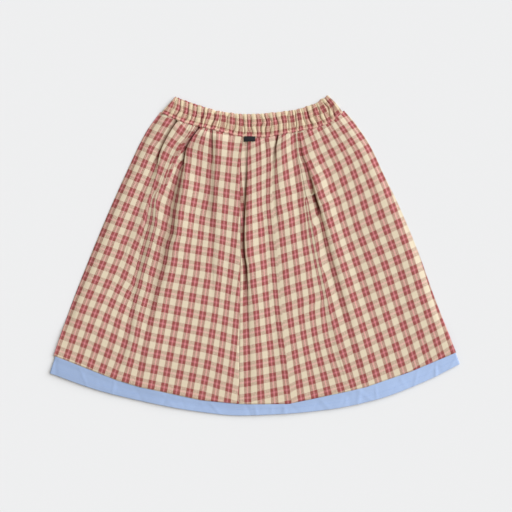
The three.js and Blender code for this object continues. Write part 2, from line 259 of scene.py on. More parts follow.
RIGHT_LINES = (
    Line("seam", (
        (2, -31.5, -323, -0.8, -0.8, 0, 0), (-2, -30, -208, -0.62, -0.62, 0, 0),
        (-5, -28.5, -117, -0.48, -0.48, 0, 0), (-8, -28, -28, -0.4, -0.4, 0, 0),
        (-10, -28, 33, -0.2, -0.2, 0, 0), (-12, -29.5, 88, 0, 0, 0, 0),
        (-14, -29, 145, 0.15, 0.15, 0, 0), (-16, -24, 199, 0.3, 0.3, 0, 0),
        (-17, -21, 228, 0.35, 0.35, 0, 0))),
    Line("centre_lap", (
        (2, -10, -322, 0.15, 0.15, 0.3, 8), (-2, -11, -205, 0.2, 0.2, 0.35, 8),
        (-5, -14, -114.5, 0.1, 0.25, 0.6, 9), (-8, -16.5, -26, 0, 0.6, 1.2, 5),
        (-9, -20.5, 3, 0.02, 0.63, 1.5, 2), (-10, -21.5, 34, 0.05, 0.65, 1.5, 0),
        (-12, -19.5, 90, 0.42, 0.73, 1.2, 0), (-14, -16.7, 146, 0.65, 0.87, 0.6, 2),
        (-16, -15, 201, 0.75, 1.02, 0.35, 6), (-17, -13.5, 230, 0.8, 1.05, 0.35, 6)), lap=True),
    Line("right_lap", (
        (2, 64, -305, 3, 3, 0.2, 10), (-2, 51, -192.5, 2.95, 3.05, 0.25, 14),
        (-5, 40, -102, 2.86, 3.14, 0.35, 18), (-8, 32.5, -13, 2.78, 3.24, 0.4, 20),
        (-10, 27, 46.5, 2.72, 3.25, 0.45, 20), (-12, 23, 103.5, 2.78, 3.2, 0.45, 16),
        (-13, 23.5, 133, 2.87, 3.13, 0.4, 12), (-14, 24.5, 162, 2.92, 3.08, 0.35, 10),
        (-15, 24, 189, 2.92, 3.08, 0.3, 9), (-16, 20.5, 216.5, 2.9, 3.1, 0.3, 8),
        (-17, 16.5, 244, 2.9, 3.1, 0.3, 8)), lap=True),
    Line("right_crease", (
        (2, 82, -294, 3.8, 3.8, 0.3, 0), (-2, 67.5, -185, 3.8, 3.8, 0.3, 0),
        (-5, 55.5, -97, 3.77, 3.77, 0.3, 0), (-8, 45.5, -7.5, 3.7, 3.7, 0.3, 0),
        (-10, 41, 52, 3.74, 3.76, 0.3, 0), (-12, 37, 110.5, 3.62, 3.88, 0.4, 12),
        (-13, 35.5, 139, 3.5, 4, 0.6, 12), (-14, 36, 168.5, 3.5, 4.12, 0.7, 8),
        (-15, 37, 196, 3.6, 4.3, 0.8, 5.5), (-16, 41, 219, 4, 4.45, 0.8, 4),
        (-17, 45, 246, 4.1, 4.5, 0.7, 3)), lap=True),
    Line("under_lap", (
        (2, 175, -268, 7.5, 7.5, 0.2, 0), (-2, 145, -159, 7.55, 7.6, 0.25, 10),
        (-4, 132, -103, 7.3, 7.69, 0.3, 14), (-5, 126.5, -73, 7, 7.78, 0.3, 14),
        (-6, 121, -46, 6.95, 7.85, 0.35, 14), (-7, 114, -15, 6.77, 7.98, 0.35, 16),
        (-8, 108, 12, 6.7, 7.85, 0.35, 14), (-9, 102.5, 41, 6.6, 7.8, 0.4, 14),
        (-10, 98, 72, 6.5, 8.27, 0.4, 12), (-11, 93.5, 100, 6.45, 8.3, 0.2, 9),
        (-12, 88.5, 128, 6.42, 8.4, 0.05, 0), (-13, 82.5, 160.5, 6.38, 8.42, 0.04, 0),
        (-14, 76, 190, 6.3, 8.42, 0.04, 0),
        (-16, 70, 243, 6.2, 8.42, 0.04, 0)), lap=True),
    Line("great_lap", (
        (2, 208, -257, 9, 9, 0.3, 10), (-2, 176.5, -144, 8.98, 9.02, 0.4, 14),
        (-5, 152.5, -59, 8.9, 9.1, 0.7, 16), (-8, 131, 24, 8.85, 9.25, 1.1, 14),
        (-9, 125, 52, 8.8, 9.35, 1.2, 12), (-10, 118, 84, 9.05, 9.5, 1.4, 6),
        (-11, 111, 106.5, 9.05, 9.65, 1.9, 0), (-12, 103, 135.5, 8.9, 9.7, 1.9, 0),
        (-13, 94, 163, 8.75, 9.82, 1.1, 0), (-14, 84.5, 190.5, 8.68, 9.82, 0.6, 0),
        (-16, 79, 244, 8.68, 10.2, 0.3, 0)), lap=True),
    Line("hip", (
        (2, 289, -222, 12.5, 12.5, 0, 0), (-2, 254, -108.5, 12.5, 12.5, 0, 0),
        (-5, 228.5, -24.5, 12.5, 12.5, 0, 0), (-8, 198.5, 58, 12.5, 12.5, 0, 0),
        (-10, 182, 115.5, 12.5, 12.5, 0, 0), (-12, 163, 169.5, 12.5, 12.5, 0, 0),
        (-14, 138.5, 218, 12.5, 12.5, 0, 0), (-16, 112, 262, 12.5, 12.5, 0, 0))),
    Line("side", (
        (2, 368, -172, 16.1, 16.1, 0, 0), (-2, 329.5, -73, 15.88, 15.88, 0, 0),
        (-5, 300.5, 8, 15.73, 15.73, 0, 0), (-8, 265.5, 92, 15.5, 15.5, 0, 0),
        (-10, 238.5, 147, 15.3, 15.3, 0, 0), (-12, 213.5, 200, 15.3, 15.3, 0, 0),
        (-14, 184.5, 244, 15.35, 15.35, 0, 0), (-16, 147, 286, 15.2, 15.2, 0, 0))),
)


@dataclass(frozen=True)
class Trough:
    """A soft dip or, with a negative depth, a soft swell: rows of (x, y, depth).

    The reach is its half width. It fades from a little inside its ends to well past them. All
    are millimetres.
    """

    stations: Table
    reach: float
    fade_out: float = 30.0
    fade_in: float = 5.0

    def height(self, x: np.ndarray, y: np.ndarray) -> np.ndarray:
        """Give what it adds to the cloth's height.

        Args:
            x: places across, in millimetres.
            y: places up, in millimetres.

        Returns:
            The height at each place, in millimetres.
        """
        table = np.array(self.stations)
        centre, depth = Course(table[:, 1], table[:, 0]), Course(table[:, 1], table[:, 2])
        low, high = table[:, 1].min(), table[:, 1].max()
        near = 1 - smooth(0, self.reach, np.abs(x - centre(np.clip(y, low, high))))
        ends = smooth(low - self.fade_out, low + self.fade_in, y)
        ends *= 1 - smooth(high - self.fade_in, high + self.fade_out, y)
        return -depth(np.clip(y, low, high)) * near * ends


TROUGHS = (
    Trough(((-152, 240, 1.0), (-179, 187, 1.4), (-187, 160, 1.6), (-190, 130, 1.6), (-194, 100, 1.6),
            (-201, 43, 1.4), (-214, -13, 1.3), (-222, -65, 1.3), (-232, -120, 1.0), (-246, -180, 0.5)), 15),
    Trough(((-104, 234, 1.0), (-132, 180, 1.4), (-146, 120, 2.0), (-155, 60, 2.0), (-166, -10, 1.6),
            (-184, -76, 1.2), (-199, -140, 0.7)), 17),
    Trough(((-80, 222, 1.2), (-79, 176, 1.4), (-79, 90, 1.3), (-79, 15, 1.2), (-81, -60, 0.7)), 12),
    Trough(((-17, 200, 1.0), (-20, 100, 1.4), (-22, 20, 1.5), (-15, -52, 1.6), (-13, -115, 1.5),
            (-12, -170, 1.0), (-11, -230, 0.6)), 12),
    Trough(((-53, -9, 0.9), (-53, -83, 0.8)), 14),
    Trough(((40, 222, 1.2), (36, 168, 1.4), (36, 130, 1.1), (34, 90, 0.6)), 11),
    Trough(((28, 20, 0.7), (42, -90, 1.0), (30, -180, 0.8), (28, -240, 0.5)), 16),
    Trough(((68, 222, 1.2), (73, 157, 1.4), (77, 102, 1.2), (82, 33, 0.9)), 10),
    Trough(((84, 229, 1.0), (90, 185, 1.3), (105, 120, 1.8), (118, 80, 1.8), (132, 20, 1.6),
            (150, -55, 1.3), (172, -130, 0.8)), 16),
    Trough(((180, 41, 0.8), (199, -83, 0.9)), 26),
    Trough(((262, -33, 0.8), (273, -144, 0.9)), 24),
    Trough(((14, 176, -0.8), (10, 41, -0.9), (12, -60, -0.6)), 14),
    Trough(((62, 60, -0.8), (80, -30, -0.9), (95, -120, -0.6)), 20),
    Trough(((-250, 60, -0.6), (-275, -20, -0.8), (-300, -120, -0.5)), 28),
    Trough(((-110, 120, -0.9), (-118, 20, -1.0), (-140, -120, -0.7)), 22),
)

# How fast the waist's small pleats spread as they run down, and how much of each is full.
PUCKER_FAN_MM = 420.0
PUCKER_FULL = 0.2
# Small pleats at the waist seam, as (x at the seam, length, height, half width).
PUCKERS: Table = (
    (-160, 34, 0.8, 5), (-133, 22, 0.9, 4.5), (-117, 30, 1.0, 5), (-91, 55, 1.2, 5), (-66, 62, 1.3, 6),
    (-54, 30, 0.9, 4.5), (-41, 45, 1.1, 5.5), (-2, 36, 1.0, 5), (10, 60, 1.4, 6), (22, 42, 1.2, 5),
    (52, 70, 1.3, 5.5), (61, 30, 0.8, 4), (76, 55, 1.1, 5), (98, 42, 1.2, 5.5), (111, 30, 0.9, 5),
    (126, 48, 1.3, 6), (141, 26, 0.9, 5), (150, 36, 0.8, 5),
)


def puckers(x: np.ndarray, y: np.ndarray) -> np.ndarray:
    """Give the height of the small pleats that run down from the waist seam.

    Args:
        x: places across, in millimetres.
        y: places up, in millimetres.

    Returns:
        The height that they add, in millimetres.
    """
    below = WAIST(x) - y
    total = np.zeros_like(x)
    for centre, length, rise, half in PUCKERS:
        fan = 1 + below / PUCKER_FAN_MM
        near = np.abs(x - centre * fan)
        ridge = rise * (1 - smooth(0, half * fan, near))
        total += ridge * (1 - smooth(length * PUCKER_FULL, length, below))
    return total


@dataclass(frozen=True)
class Grid:
    """The middle of a cloth: its points and the place of each on the flat cloth, in metres.

    The fold shade is how dark each point is painted for the shade in a fold, from 0 to 1.
    """

    points: np.ndarray
    cloth: np.ndarray
    fold_shade: np.ndarray | None = None


def shell(name: str, grid: Grid, thickness: float | np.ndarray,
          material: bpy.types.Material) -> bpy.types.Object:
    """Make a thin closed cloth from the middle of it.

    Args:
        name: the piece's name.
        grid: rows of points, and their places on the flat cloth.
        thickness: the cloth's thickness in metres, one value or one for each point.
        material: its finish.

    Returns:
        The new object, at the origin, with its UV map named cloth and its painted fold_shade.
    """
    points = grid.points
    rows, columns, _ = points.shape
    along, across = np.gradient(points, axis=0), np.gradient(points, axis=1)
    normal = np.cross(across, along)
    normal /= np.maximum(np.linalg.norm(normal, axis=2, keepdims=True), 1e-12)
    half = np.broadcast_to(np.asarray(thickness) / 2, (rows, columns))[..., None]
    corners = np.concatenate([side.reshape(-1, 3) for side in (points + normal * half,
                                                               points - normal * half)])
    index = np.arange(rows * columns).reshape(rows, columns)
    under = index + rows * columns

    def quads(a: np.ndarray, b: np.ndarray, c: np.ndarray, d: np.ndarray) -> np.ndarray:
        """Stack four corner lists into quads."""
        return np.stack([a.ravel(), b.ravel(), c.ravel(), d.ravel()], axis=1)

    faces = np.concatenate([
        quads(index[:-1, :-1], index[:-1, 1:], index[1:, 1:], index[1:, :-1]),
        quads(under[:-1, :-1], under[1:, :-1], under[1:, 1:], under[:-1, 1:]),
        quads(index[:-1, 0], index[1:, 0], under[1:, 0], under[:-1, 0]),
        quads(index[1:, -1], index[:-1, -1], under[:-1, -1], under[1:, -1]),
        quads(index[0, 1:], index[0, :-1], under[0, :-1], under[0, 1:]),
        quads(index[-1, :-1], index[-1, 1:], under[-1, 1:], under[-1, :-1]),
    ])
    piece = mesh_object(name, corners, faces, np.tile(grid.cloth.reshape(-1, 2), (2, 1)), material)
    # Paint the grid's fold shade, the shade that falls in its folds, on both sides of the shell.
    if grid.fold_shade is not None:
        deep = piece.data.attributes.new("fold_shade", "FLOAT", "POINT")
        deep.data.foreach_set("value", np.tile(grid.fold_shade.ravel(), 2).astype(np.float32))
    return piece


def mesh_object(name: str, corners: np.ndarray, faces: np.ndarray, cloth: np.ndarray,
                material: bpy.types.Material) -> bpy.types.Object:
    """Make an object of quads with smooth faces and a UV map named cloth.

    Args:
        name: the piece's name.
        corners: the places of its vertices, in metres.
        faces: the four vertices of each quad.
        cloth: each vertex's place on the flat cloth, in metres.
        material: its finish.

    Returns:
        The new object, at the origin.
    """
    mesh = bpy.data.meshes.new(name)
    mesh.vertices.add(len(corners))
    mesh.vertices.foreach_set("co", corners.astype(np.float32).ravel())
    mesh.loops.add(faces.size)
    mesh.loops.foreach_set("vertex_index", faces.astype(np.int32).ravel())
    mesh.polygons.add(len(faces))
    mesh.polygons.foreach_set("loop_start", np.arange(0, faces.size, 4, dtype=np.int32))
    mesh.update(calc_edges=True)
    layer = mesh.uv_layers.new(name="cloth")
    layer.data.foreach_set("uv", cloth[faces.ravel()].astype(np.float32).ravel())
    mesh.polygons.foreach_set("use_smooth", np.ones(len(faces), dtype=bool))
    mesh.materials.append(material)
    mesh.validate()
    piece = bpy.data.objects.new(name, mesh)
    bpy.context.scene.collection.objects.link(piece)
    return piece


@dataclass(frozen=True)
class Lap:
    """The cross-section of a lap: cloth that runs under, turns back, and turns over on top.

    The first four are arrays over the rows: the hidden cloth, the turns' radius and the lap's
    width in millimetres, and how much of a soft flank it is, from 0 to 1. The evening is how much
    more evenly its points are spread over the cloth.
    """

    hidden: np.ndarray
    radius: np.ndarray
    width: np.ndarray
    softness: np.ndarray
    evening: float = 0.18

    def turn(self) -> tuple[np.ndarray, np.ndarray]:
        """Fit the two turns and the flat run to the hidden cloth.

        Returns:
            The angle of each turn, and the length of the flat run under the lip.
        """
        limit = 2 * math.pi * self.radius
        flat = np.maximum(self.hidden - limit, 0) / 2
        target = np.clip(self.hidden / (2 * self.radius), 0, math.pi)
        low, high = np.zeros_like(target), np.full_like(target, math.pi)
        for _ in range(TURN_HALVINGS):
            middle = (low + high) / 2
            short = middle - np.sin(middle) < target
            low, high = np.where(short, middle, low), np.where(short, high, middle)
        return (low + high) / 2, flat

    def rise(self) -> np.ndarray:
        """Work out the lap's height.

        Returns:
            How much higher its top is than the cloth it lies on, in millimetres.
        """
        angle, _ = self.turn()
        turned = 2 * self.radius * (1 - np.cos(angle))
        return turned + (4 * self.radius - turned) * self.softness

    def section(self, fractions: np.ndarray) -> tuple[np.ndarray, np.ndarray, np.ndarray]:
        """Place points along the section.

        Args:
            fractions: where each of the points is, from 0 to 1, one list for all rows.

        Returns:
            For each row and point, the way across, the height, and the length of cloth used.
        """
        angle, flat = (value[:, None] for value in self.turn())
        radius = self.radius[:, None]
        width, soft = self.width[:, None], self.softness[:, None]
        lead = (width - 2 * radius * np.sin(angle)) / 2
        runs = [lead, flat, angle * radius, flat, angle * radius, lead]
        ends = np.cumsum(np.stack(runs), axis=0)
        marks = np.linspace(0, 1, len(runs) + 1)
        starts = np.concatenate([np.zeros_like(ends[:1]), ends])
        k = np.clip(np.searchsorted(marks, fractions, side="right") - 1, 0, len(runs) - 1)
        share = (fractions - marks[k]) / (marks[k + 1] - marks[k])
        used = starts[k, :, 0].T * (1 - share) + starts[k + 1, :, 0].T * share
        used = (1 - self.evening) * used + self.evening * ends[-1] * fractions
        across, up = -width / 2 + np.zeros_like(used), np.zeros_like(used)
        parts = [np.clip(used - start, 0, run) for start, run in zip(starts[:-1], runs)]
        across = across + parts[0] + parts[1]
        theta = parts[2] / radius
        across, up = across + radius * np.sin(theta), up + radius * (1 - np.cos(theta))
        across, up = across + parts[3] * np.cos(angle), up + parts[3] * np.sin(angle)
        back = angle - parts[4] / radius
        across = across + radius * (np.sin(angle) - np.sin(back))
        up = up + radius * (np.cos(back) - np.cos(angle))
        across = across + parts[5]
        ease = smooth(0, 1, fractions)
        across += ((fractions - 0.5) * width - across) * soft
        up += (4 * radius * ease - up) * soft
        used += (fractions * ends[-1] - used) * soft
        return across, up, used


@dataclass(frozen=True)
class BackPanel:
    """One half of the check back, from its side edge to the centre-back seam.

    Lengths are millimetres. A field that ends in over gives the two distances between which
    something comes or goes, or for the side's drop the two shares of the way up.

    Attributes:
        spacing: how far apart its columns of points are in open cloth.
        bunching: how much closer its rows of points are at the hem and the waist.
        hem_rows, waist_rows: rows on both sides of where the lines meet the hem and the waist.
        lap_columns, lap_width: the columns of points in a lap, and a lap's least width in plan.
        lift: how high the open cloth lies over the layer under it.
        dip, dip_reach, wide_radius: the groove beside a lap's lip, how wide it is, and the
            radius past which it is wider.
        flank_relief: how much of that groove a soft flank lacks.
        lip_gap: how far a turned lip stands from its shadow's middle.
        dark_radius, dark_share, shade_fall: the radius of a lap with fully painted shade, the part of
        its width that is painted dark, and how fast the painted shade falls off beside it.
        roll, flat_edge: the side edge's roll, and how many times that the folds stay off it.
        side_drop, level: how far the side edge drops, and the panel's height.
        slope, reach_rate, reach_base: how far the cloth takes to come down from a lap.
        waist_share, hem_share: how much of the folds' height the waist and the hem have.
        seam_dip, seam_gap: how deep the edge at the centre-back seam lies, and how far from the
            seam's middle.
    """

    name: str
    lines: tuple[Line, ...]
    side_is_left: bool
    spacing: float = 2.2
    rows: int = 150
    bunching: float = 0.06
    hem_rows: tuple[float, float] = (-2.0, 5.0)
    waist_rows: tuple[float, float] = (-20.0, -11.0)
    lap_columns: int = 18
    lap_width: float = 4.0
    lift: float = 3.6
    lift_over: tuple[float, float] = (0.0, 90.0)
    dip: float = 3.4
    dip_reach: float = 5.5
    wide_radius: float = 1.1
    flank_relief: float = 0.6
    lip_gap: float = 1.2
    dark_radius: float = 0.8
    dark_share: float = 0.6
    shade_fall: float = 1.5
    roll: float = 11.0
    flat_edge: float = 1.6
    side_drop: float = 2.5 * LAYER_MM
    side_drop_over: tuple[float, float] = (0.08, 0.16)
    level: float = 3 * LAYER_MM + 0.4
    slope: float = 34.0
    reach_rate: float = 2.4
    reach_base: float = 6.0
    waist_share: float = 0.5
    waist_over: tuple[float, float] = (0.0, 14.0)
    hem_share: float = 0.25
    hem_over: tuple[float, float] = (0.0, 60.0)
    seam_dip: float = 0.45
    seam_over: tuple[float, float] = (0.0, 1.6)
    seam_gap: float = 0.1

    def edge_rows(self) -> tuple[list[float], list[float]]:
        """Find where the lines end.

        Returns:
            The rows at which the lines meet the hem, and those at which they meet the waist.
        """
        hem, waist = [], []
        for line in self.lines:
            x, y = line.course(Station.X), line.course(Station.Y)
            hem.append(self.solve(x, y, HEM, *self.hem_rows))
            waist.append(self.solve(x, y, WAIST, *self.waist_rows))
        return hem, waist

    @staticmethod
    def solve(x: Course, y: Course, outline: Course, low: float, high: float) -> float:
        """Find the row at which a line down the cloth crosses an outline.

        Args:
            x: the line's place across at each row.
            y: its place up at each row.
            outline: the outline's height over x.
            low: a row that is above the outline.
            high: a row that is below it.

        Returns:
            The row of the crossing.
        """
        for _ in range(ROW_HALVINGS):
            middle = (low + high) / 2
            if y(middle) > outline(x(middle)):
                low = middle
            else:
                high = middle
        return (low + high) / 2

    def grid(self) -> Grid:
        """Work out the panel's points and cloth places, hem first, left to right.

        Returns:
            The middle of the panel's cloth.
        """
        hem, waist = self.edge_rows()
        v = np.linspace(0, 1, self.rows)
        v = v + self.bunching * np.sin(2 * np.pi * v) / (2 * np.pi)
        at = [low + (high - low) * v for low, high in zip(hem, waist)]
        place = [self.plan(line, row) for line, row in zip(self.lines, at)]
        parts = ([], [], [])
        carried, reach = np.zeros(self.rows), np.full(self.rows, self.slope)
        for k, line in enumerate(self.lines):
            top = carried
            if line.lap:
                top, reach = self.lap_span(k, at, place, carried, parts)
            if k + 1 < len(self.lines):
                carried = self.open_span(k, at, place, top, reach, parts)
        return self.settle(*(np.concatenate(part, axis=1) for part in parts))

    def lap_span(self, k: int, at: list[np.ndarray], place: list[np.ndarray], carried: np.ndarray,
                 parts: tuple[list, list, list]) -> tuple[np.ndarray, np.ndarray]:
        """Add the cloth of the lap at line k.

        Args:
            k: which line it is.
            at: the rows of each line's points.
            place: the plan of each line's points.
            carried: how high the cloth on its left still is.
            parts: where its points, their places on the flat cloth and their painted fold shade are added.

        Returns:
            How high its top is, and how far the cloth takes to come down from there.
        """
        line, row = self.lines[k], at[k]
        radius, width = line.course(Station.RADIUS)(row), self.width(line, row)
        hidden = np.maximum(line.hidden(row), 0)
        bend = Lap(hidden, radius, width, self.softness(line, row))
        fractions = np.linspace(0, 1, self.lap_columns + 2)[1:-1]
        across, up, used = bend.section(fractions)
        way = self.direction(self.direction(place[k] - place[k - 1])
                             + self.direction(place[k + 1] - place[k]))
        plan = place[k][:, None, :] + way[:, None, :] * across[..., None]
        first = (line.course(Station.BEFORE)(row) - width / 2 / COLUMN_MM)[:, None]
        last = (line.course(Station.AFTER)(row) + width / 2 / COLUMN_MM)[:, None]
        column = first + used / (hidden + width)[:, None] * (last - first)
        rise, dip = bend.rise(), self.groove(line, row)
        z = (carried - dip)[:, None] + up * ((rise + dip) / np.maximum(rise, 1e-6))[:, None]
        rows = np.repeat(row[:, None], column.shape[1], axis=1)
        # Painted shade on the part of the lap's section that lies under its lip, where shade falls.
        fold_shade = self.depth(line, row)[:, None] * (fractions < self.dark_share)
        for part, values in zip(parts, (np.concatenate([plan, z[..., None]], axis=2),
                                        np.stack([column, rows], axis=2), fold_shade)):
            part.append(values)
        _, flat = bend.turn()
        reach = np.maximum(self.slope, self.reach_rate * (flat + radius) + self.reach_base)
        return carried + rise, reach

    def width(self, line: Line, row: np.ndarray) -> np.ndarray:
        """Give how wide in plan the part of a lap is at each row: nothing for a plain line."""
        wide = np.maximum(line.course(Station.SPREAD)(row), self.lap_width)
        return wide if line.lap else np.zeros_like(row)

    def groove(self, line: Line, row: np.ndarray) -> np.ndarray:
        """Work out the groove beside the lip of a lap.

        Args:
            line: the lap.
            row: the rows of its points.

        Returns:
            How deep the cloth sinks there, in millimetres.
        """
        tucked = smooth(0, TUCKED_MM, line.hidden(row))
        tucked = tucked * (1 - self.flank_relief * self.softness(line, row))
        return self.dip * np.minimum(line.course(Station.RADIUS)(row), 1.0) * tucked

    def depth(self, line: Line, row: np.ndarray) -> np.ndarray:
        """Work out how dark a lap's groove is painted for the shade that falls in it.

        Args:
            line: the lap.
            row: the rows of its points.

        Returns:
            The painted shade at each row, from 0 to 1.
        """
        shaded = 1 - (1 - line.flank_shade) * self.softness(line, row)
        round_lip = np.clip(line.course(Station.RADIUS)(row) / self.dark_radius, 0, 1)
        return smooth(0, TUCKED_MM, line.hidden(row)) * round_lip * shaded

    @staticmethod
    def softness(line: Line, row: np.ndarray) -> np.ndarray:
        """Give how much of a soft flank a lap is, from 0 for a turned one to 1."""
        return smooth(*FLANK_OVER_MM, line.course(Station.SPREAD)(row))

    def plan(self, line: Line, row: np.ndarray) -> np.ndarray:
        """Place a line in plan: a lap's lip stands just right of its charted shadow.

        Args:
            line: the line.
            row: the rows of its points.

        Returns:
            The x and y of each point, in millimetres.
        """
        x, y = line.course(Station.X)(row), line.course(Station.Y)(row)
        if line.lap:
            lip = line.course(Station.RADIUS)(row) + self.lip_gap
            x = x + lip * (1 - self.softness(line, row))
        if line.name == "seam":
            x = SEAM(y) + (-self.seam_gap if self.side_is_left else self.seam_gap)
        return np.stack([x, y], axis=1)

    @staticmethod
    def direction(way: np.ndarray) -> np.ndarray:
        """Give unit vectors."""
        return way / np.maximum(np.linalg.norm(way, axis=-1, keepdims=True), 1e-9)

    def open_span(self, k: int, at: list[np.ndarray], place: list[np.ndarray], top: np.ndarray,
                  reach: np.ndarray, parts: tuple[list, list, list]) -> np.ndarray:
        """Add the open cloth between line k and the next.

        Args:
            k: which line it starts at.
            at: the rows of each line's points.
            place: the plan of each line's points.
            top: how high the cloth starts.
            reach: how far it takes to come down from there.
            parts: where its points, their places on the flat cloth and their painted fold shade are added.

        Returns:
            How high the cloth still is at the next line.
        """
        left, right = self.lines[k], self.lines[k + 1]
        margin = [self.width(line, row) / 2 for line, row in ((left, at[k]), (right, at[k + 1]))]
        way = place[k + 1] - place[k]
        length = np.linalg.norm(way, axis=1)
        count = max(3, int(round((length - margin[0] - margin[1]).max() / self.spacing)))
        f = np.linspace(0, 1, count + 1)
        if not left.lap and k > 0:
            f = f[1:]
        start, stop = margin[0] / length, 1 - margin[1] / length
        share = start[:, None] + (stop - start)[:, None] * f[None, :]
        plan = place[k][:, None, :] + way[:, None, :] * share[..., None]
        gone = (length * (stop - start))[:, None] * f[None, :]
        left_over = gone[:, -1:] - gone
        z = top[:, None] * (1 - smooth(0, 1, gone / reach[:, None]))
        carried = z[:, -1].copy()
        fold_shade = np.zeros_like(z)
        if right.lap:
            bulge = np.maximum(right.course(Station.RADIUS)(at[k + 1]) / self.wide_radius, 1)
            wide = self.dip_reach * bulge + 2 * margin[1] - self.lap_width
            near = 1 - smooth(0, 1, left_over / wide[:, None])
            z -= self.groove(right, at[k + 1])[:, None] * near
            # Painted shade in the groove beside the next lap's lip, falling off away from it.
            fold_shade = self.depth(right, at[k + 1])[:, None] * near ** self.shade_fall
        first = left.course(Station.AFTER)(at[k]) + margin[0] / COLUMN_MM
        last = right.course(Station.BEFORE)(at[k + 1]) - margin[1] / COLUMN_MM
        column = first[:, None] + (last - first)[:, None] * f[None, :]
        row = at[k][:, None] + (at[k + 1] - at[k])[:, None] * share
        for part, values in zip(parts, (np.concatenate([plan, z[..., None]], axis=2),
                                        np.stack([column, row], axis=2), fold_shade)):
            part.append(values)
        return carried

    def settle(self, points: np.ndarray, cloth: np.ndarray, fold_shade: np.ndarray) -> Grid:
        """Lay the cloth on what is under it, with its soft folds, and turn to metres.

        Args:
            points: the plan and the laps' height of each point, in millimetres.
            cloth: each point's column and row of the check.
            fold_shade: how dark each point is painted for the shade in a fold.

        Returns:
            The middle of the panel's cloth.
        """
        x, y, fold = points[..., 0], points[..., 1], points[..., 2]
        rise = fold + sum(trough.height(x, y) for trough in TROUGHS)
        edge = np.abs(x - (x[:, :1] if self.side_is_left else x[:, -1:]))
        seam = np.abs(x - (x[:, -1:] if self.side_is_left else x[:, :1]))
        v = np.linspace(0, 1, self.rows)[:, None]
        from_waist = np.maximum(WAIST(x) - y, 0)
        from_hem = np.maximum(y - HEM(x), 0)
        lift = self.lift * smooth(*self.lift_over, from_hem)
        waist = self.waist_share + (1 - self.waist_share) * smooth(*self.waist_over, from_waist)
        hem = self.hem_share + (1 - self.hem_share) * smooth(*self.hem_over, from_hem)
        inner = smooth(0, self.roll * self.flat_edge, edge)
        body = (lift + rise * hem) * inner + puckers(x, y)
        body = np.maximum(body, 0) * waist
        body -= self.seam_dip * (1 - smooth(*self.seam_over, seam))
        drop = self.side_drop * (1 - smooth(0, self.roll, edge)) * smooth(*self.side_drop_over, v)
        z = self.level + body - drop
        place = np.stack([x, y, z], axis=2) * MM
        flat = np.stack([cloth[..., 0] * COLUMN_MM, cloth[..., 1] * ROW_MM], axis=2) * MM
        return Grid(place, flat, fold_shade)

    def build(self, material: bpy.types.Material) -> bpy.types.Object:
        """Make the panel."""
        return shell(self.name, self.grid(), CLOTH_MM * MM, material)


@dataclass(frozen=True)
class Wrinkles:
    """Faint slanting creases at random places along a hem, the same each time.

    Lengths are millimetres. The half width and the rise are drawn between two values.
    """

    count: int = 44
    seed: int = 11
    span: float = 365.0
    jitter: float = 7.0
    slant: float = 1.1
    half: tuple[float, float] = (1.5, 4.5)
    rise: tuple[float, float] = (-0.5, 0.8)

    def height(self, x: np.ndarray, above: np.ndarray) -> np.ndarray:
        """Give the height of the creases.

        Args:
            x: places across, in millimetres.
            above: how far each place is above the hem, in millimetres.

        Returns:
            The height at each place, in millimetres.
        """
        chance = np.random.default_rng(self.seed)
        height = np.zeros_like(x + above)
        for middle in np.linspace(-self.span, self.span, self.count):
            middle += chance.uniform(-self.jitter, self.jitter)
            slant, half = chance.uniform(-self.slant, self.slant), chance.uniform(*self.half)
            away = x - middle - slant * above
            height += chance.uniform(*self.rise) * np.exp(-((away / half) ** 2))
        return height


# Uneven waves along a hem, as (length, phase, share).
RIPPLES: Table = ((31.0, 0.7, 0.5), (13.7, 2.1, 0.3), (67.0, 0.0, 0.4))


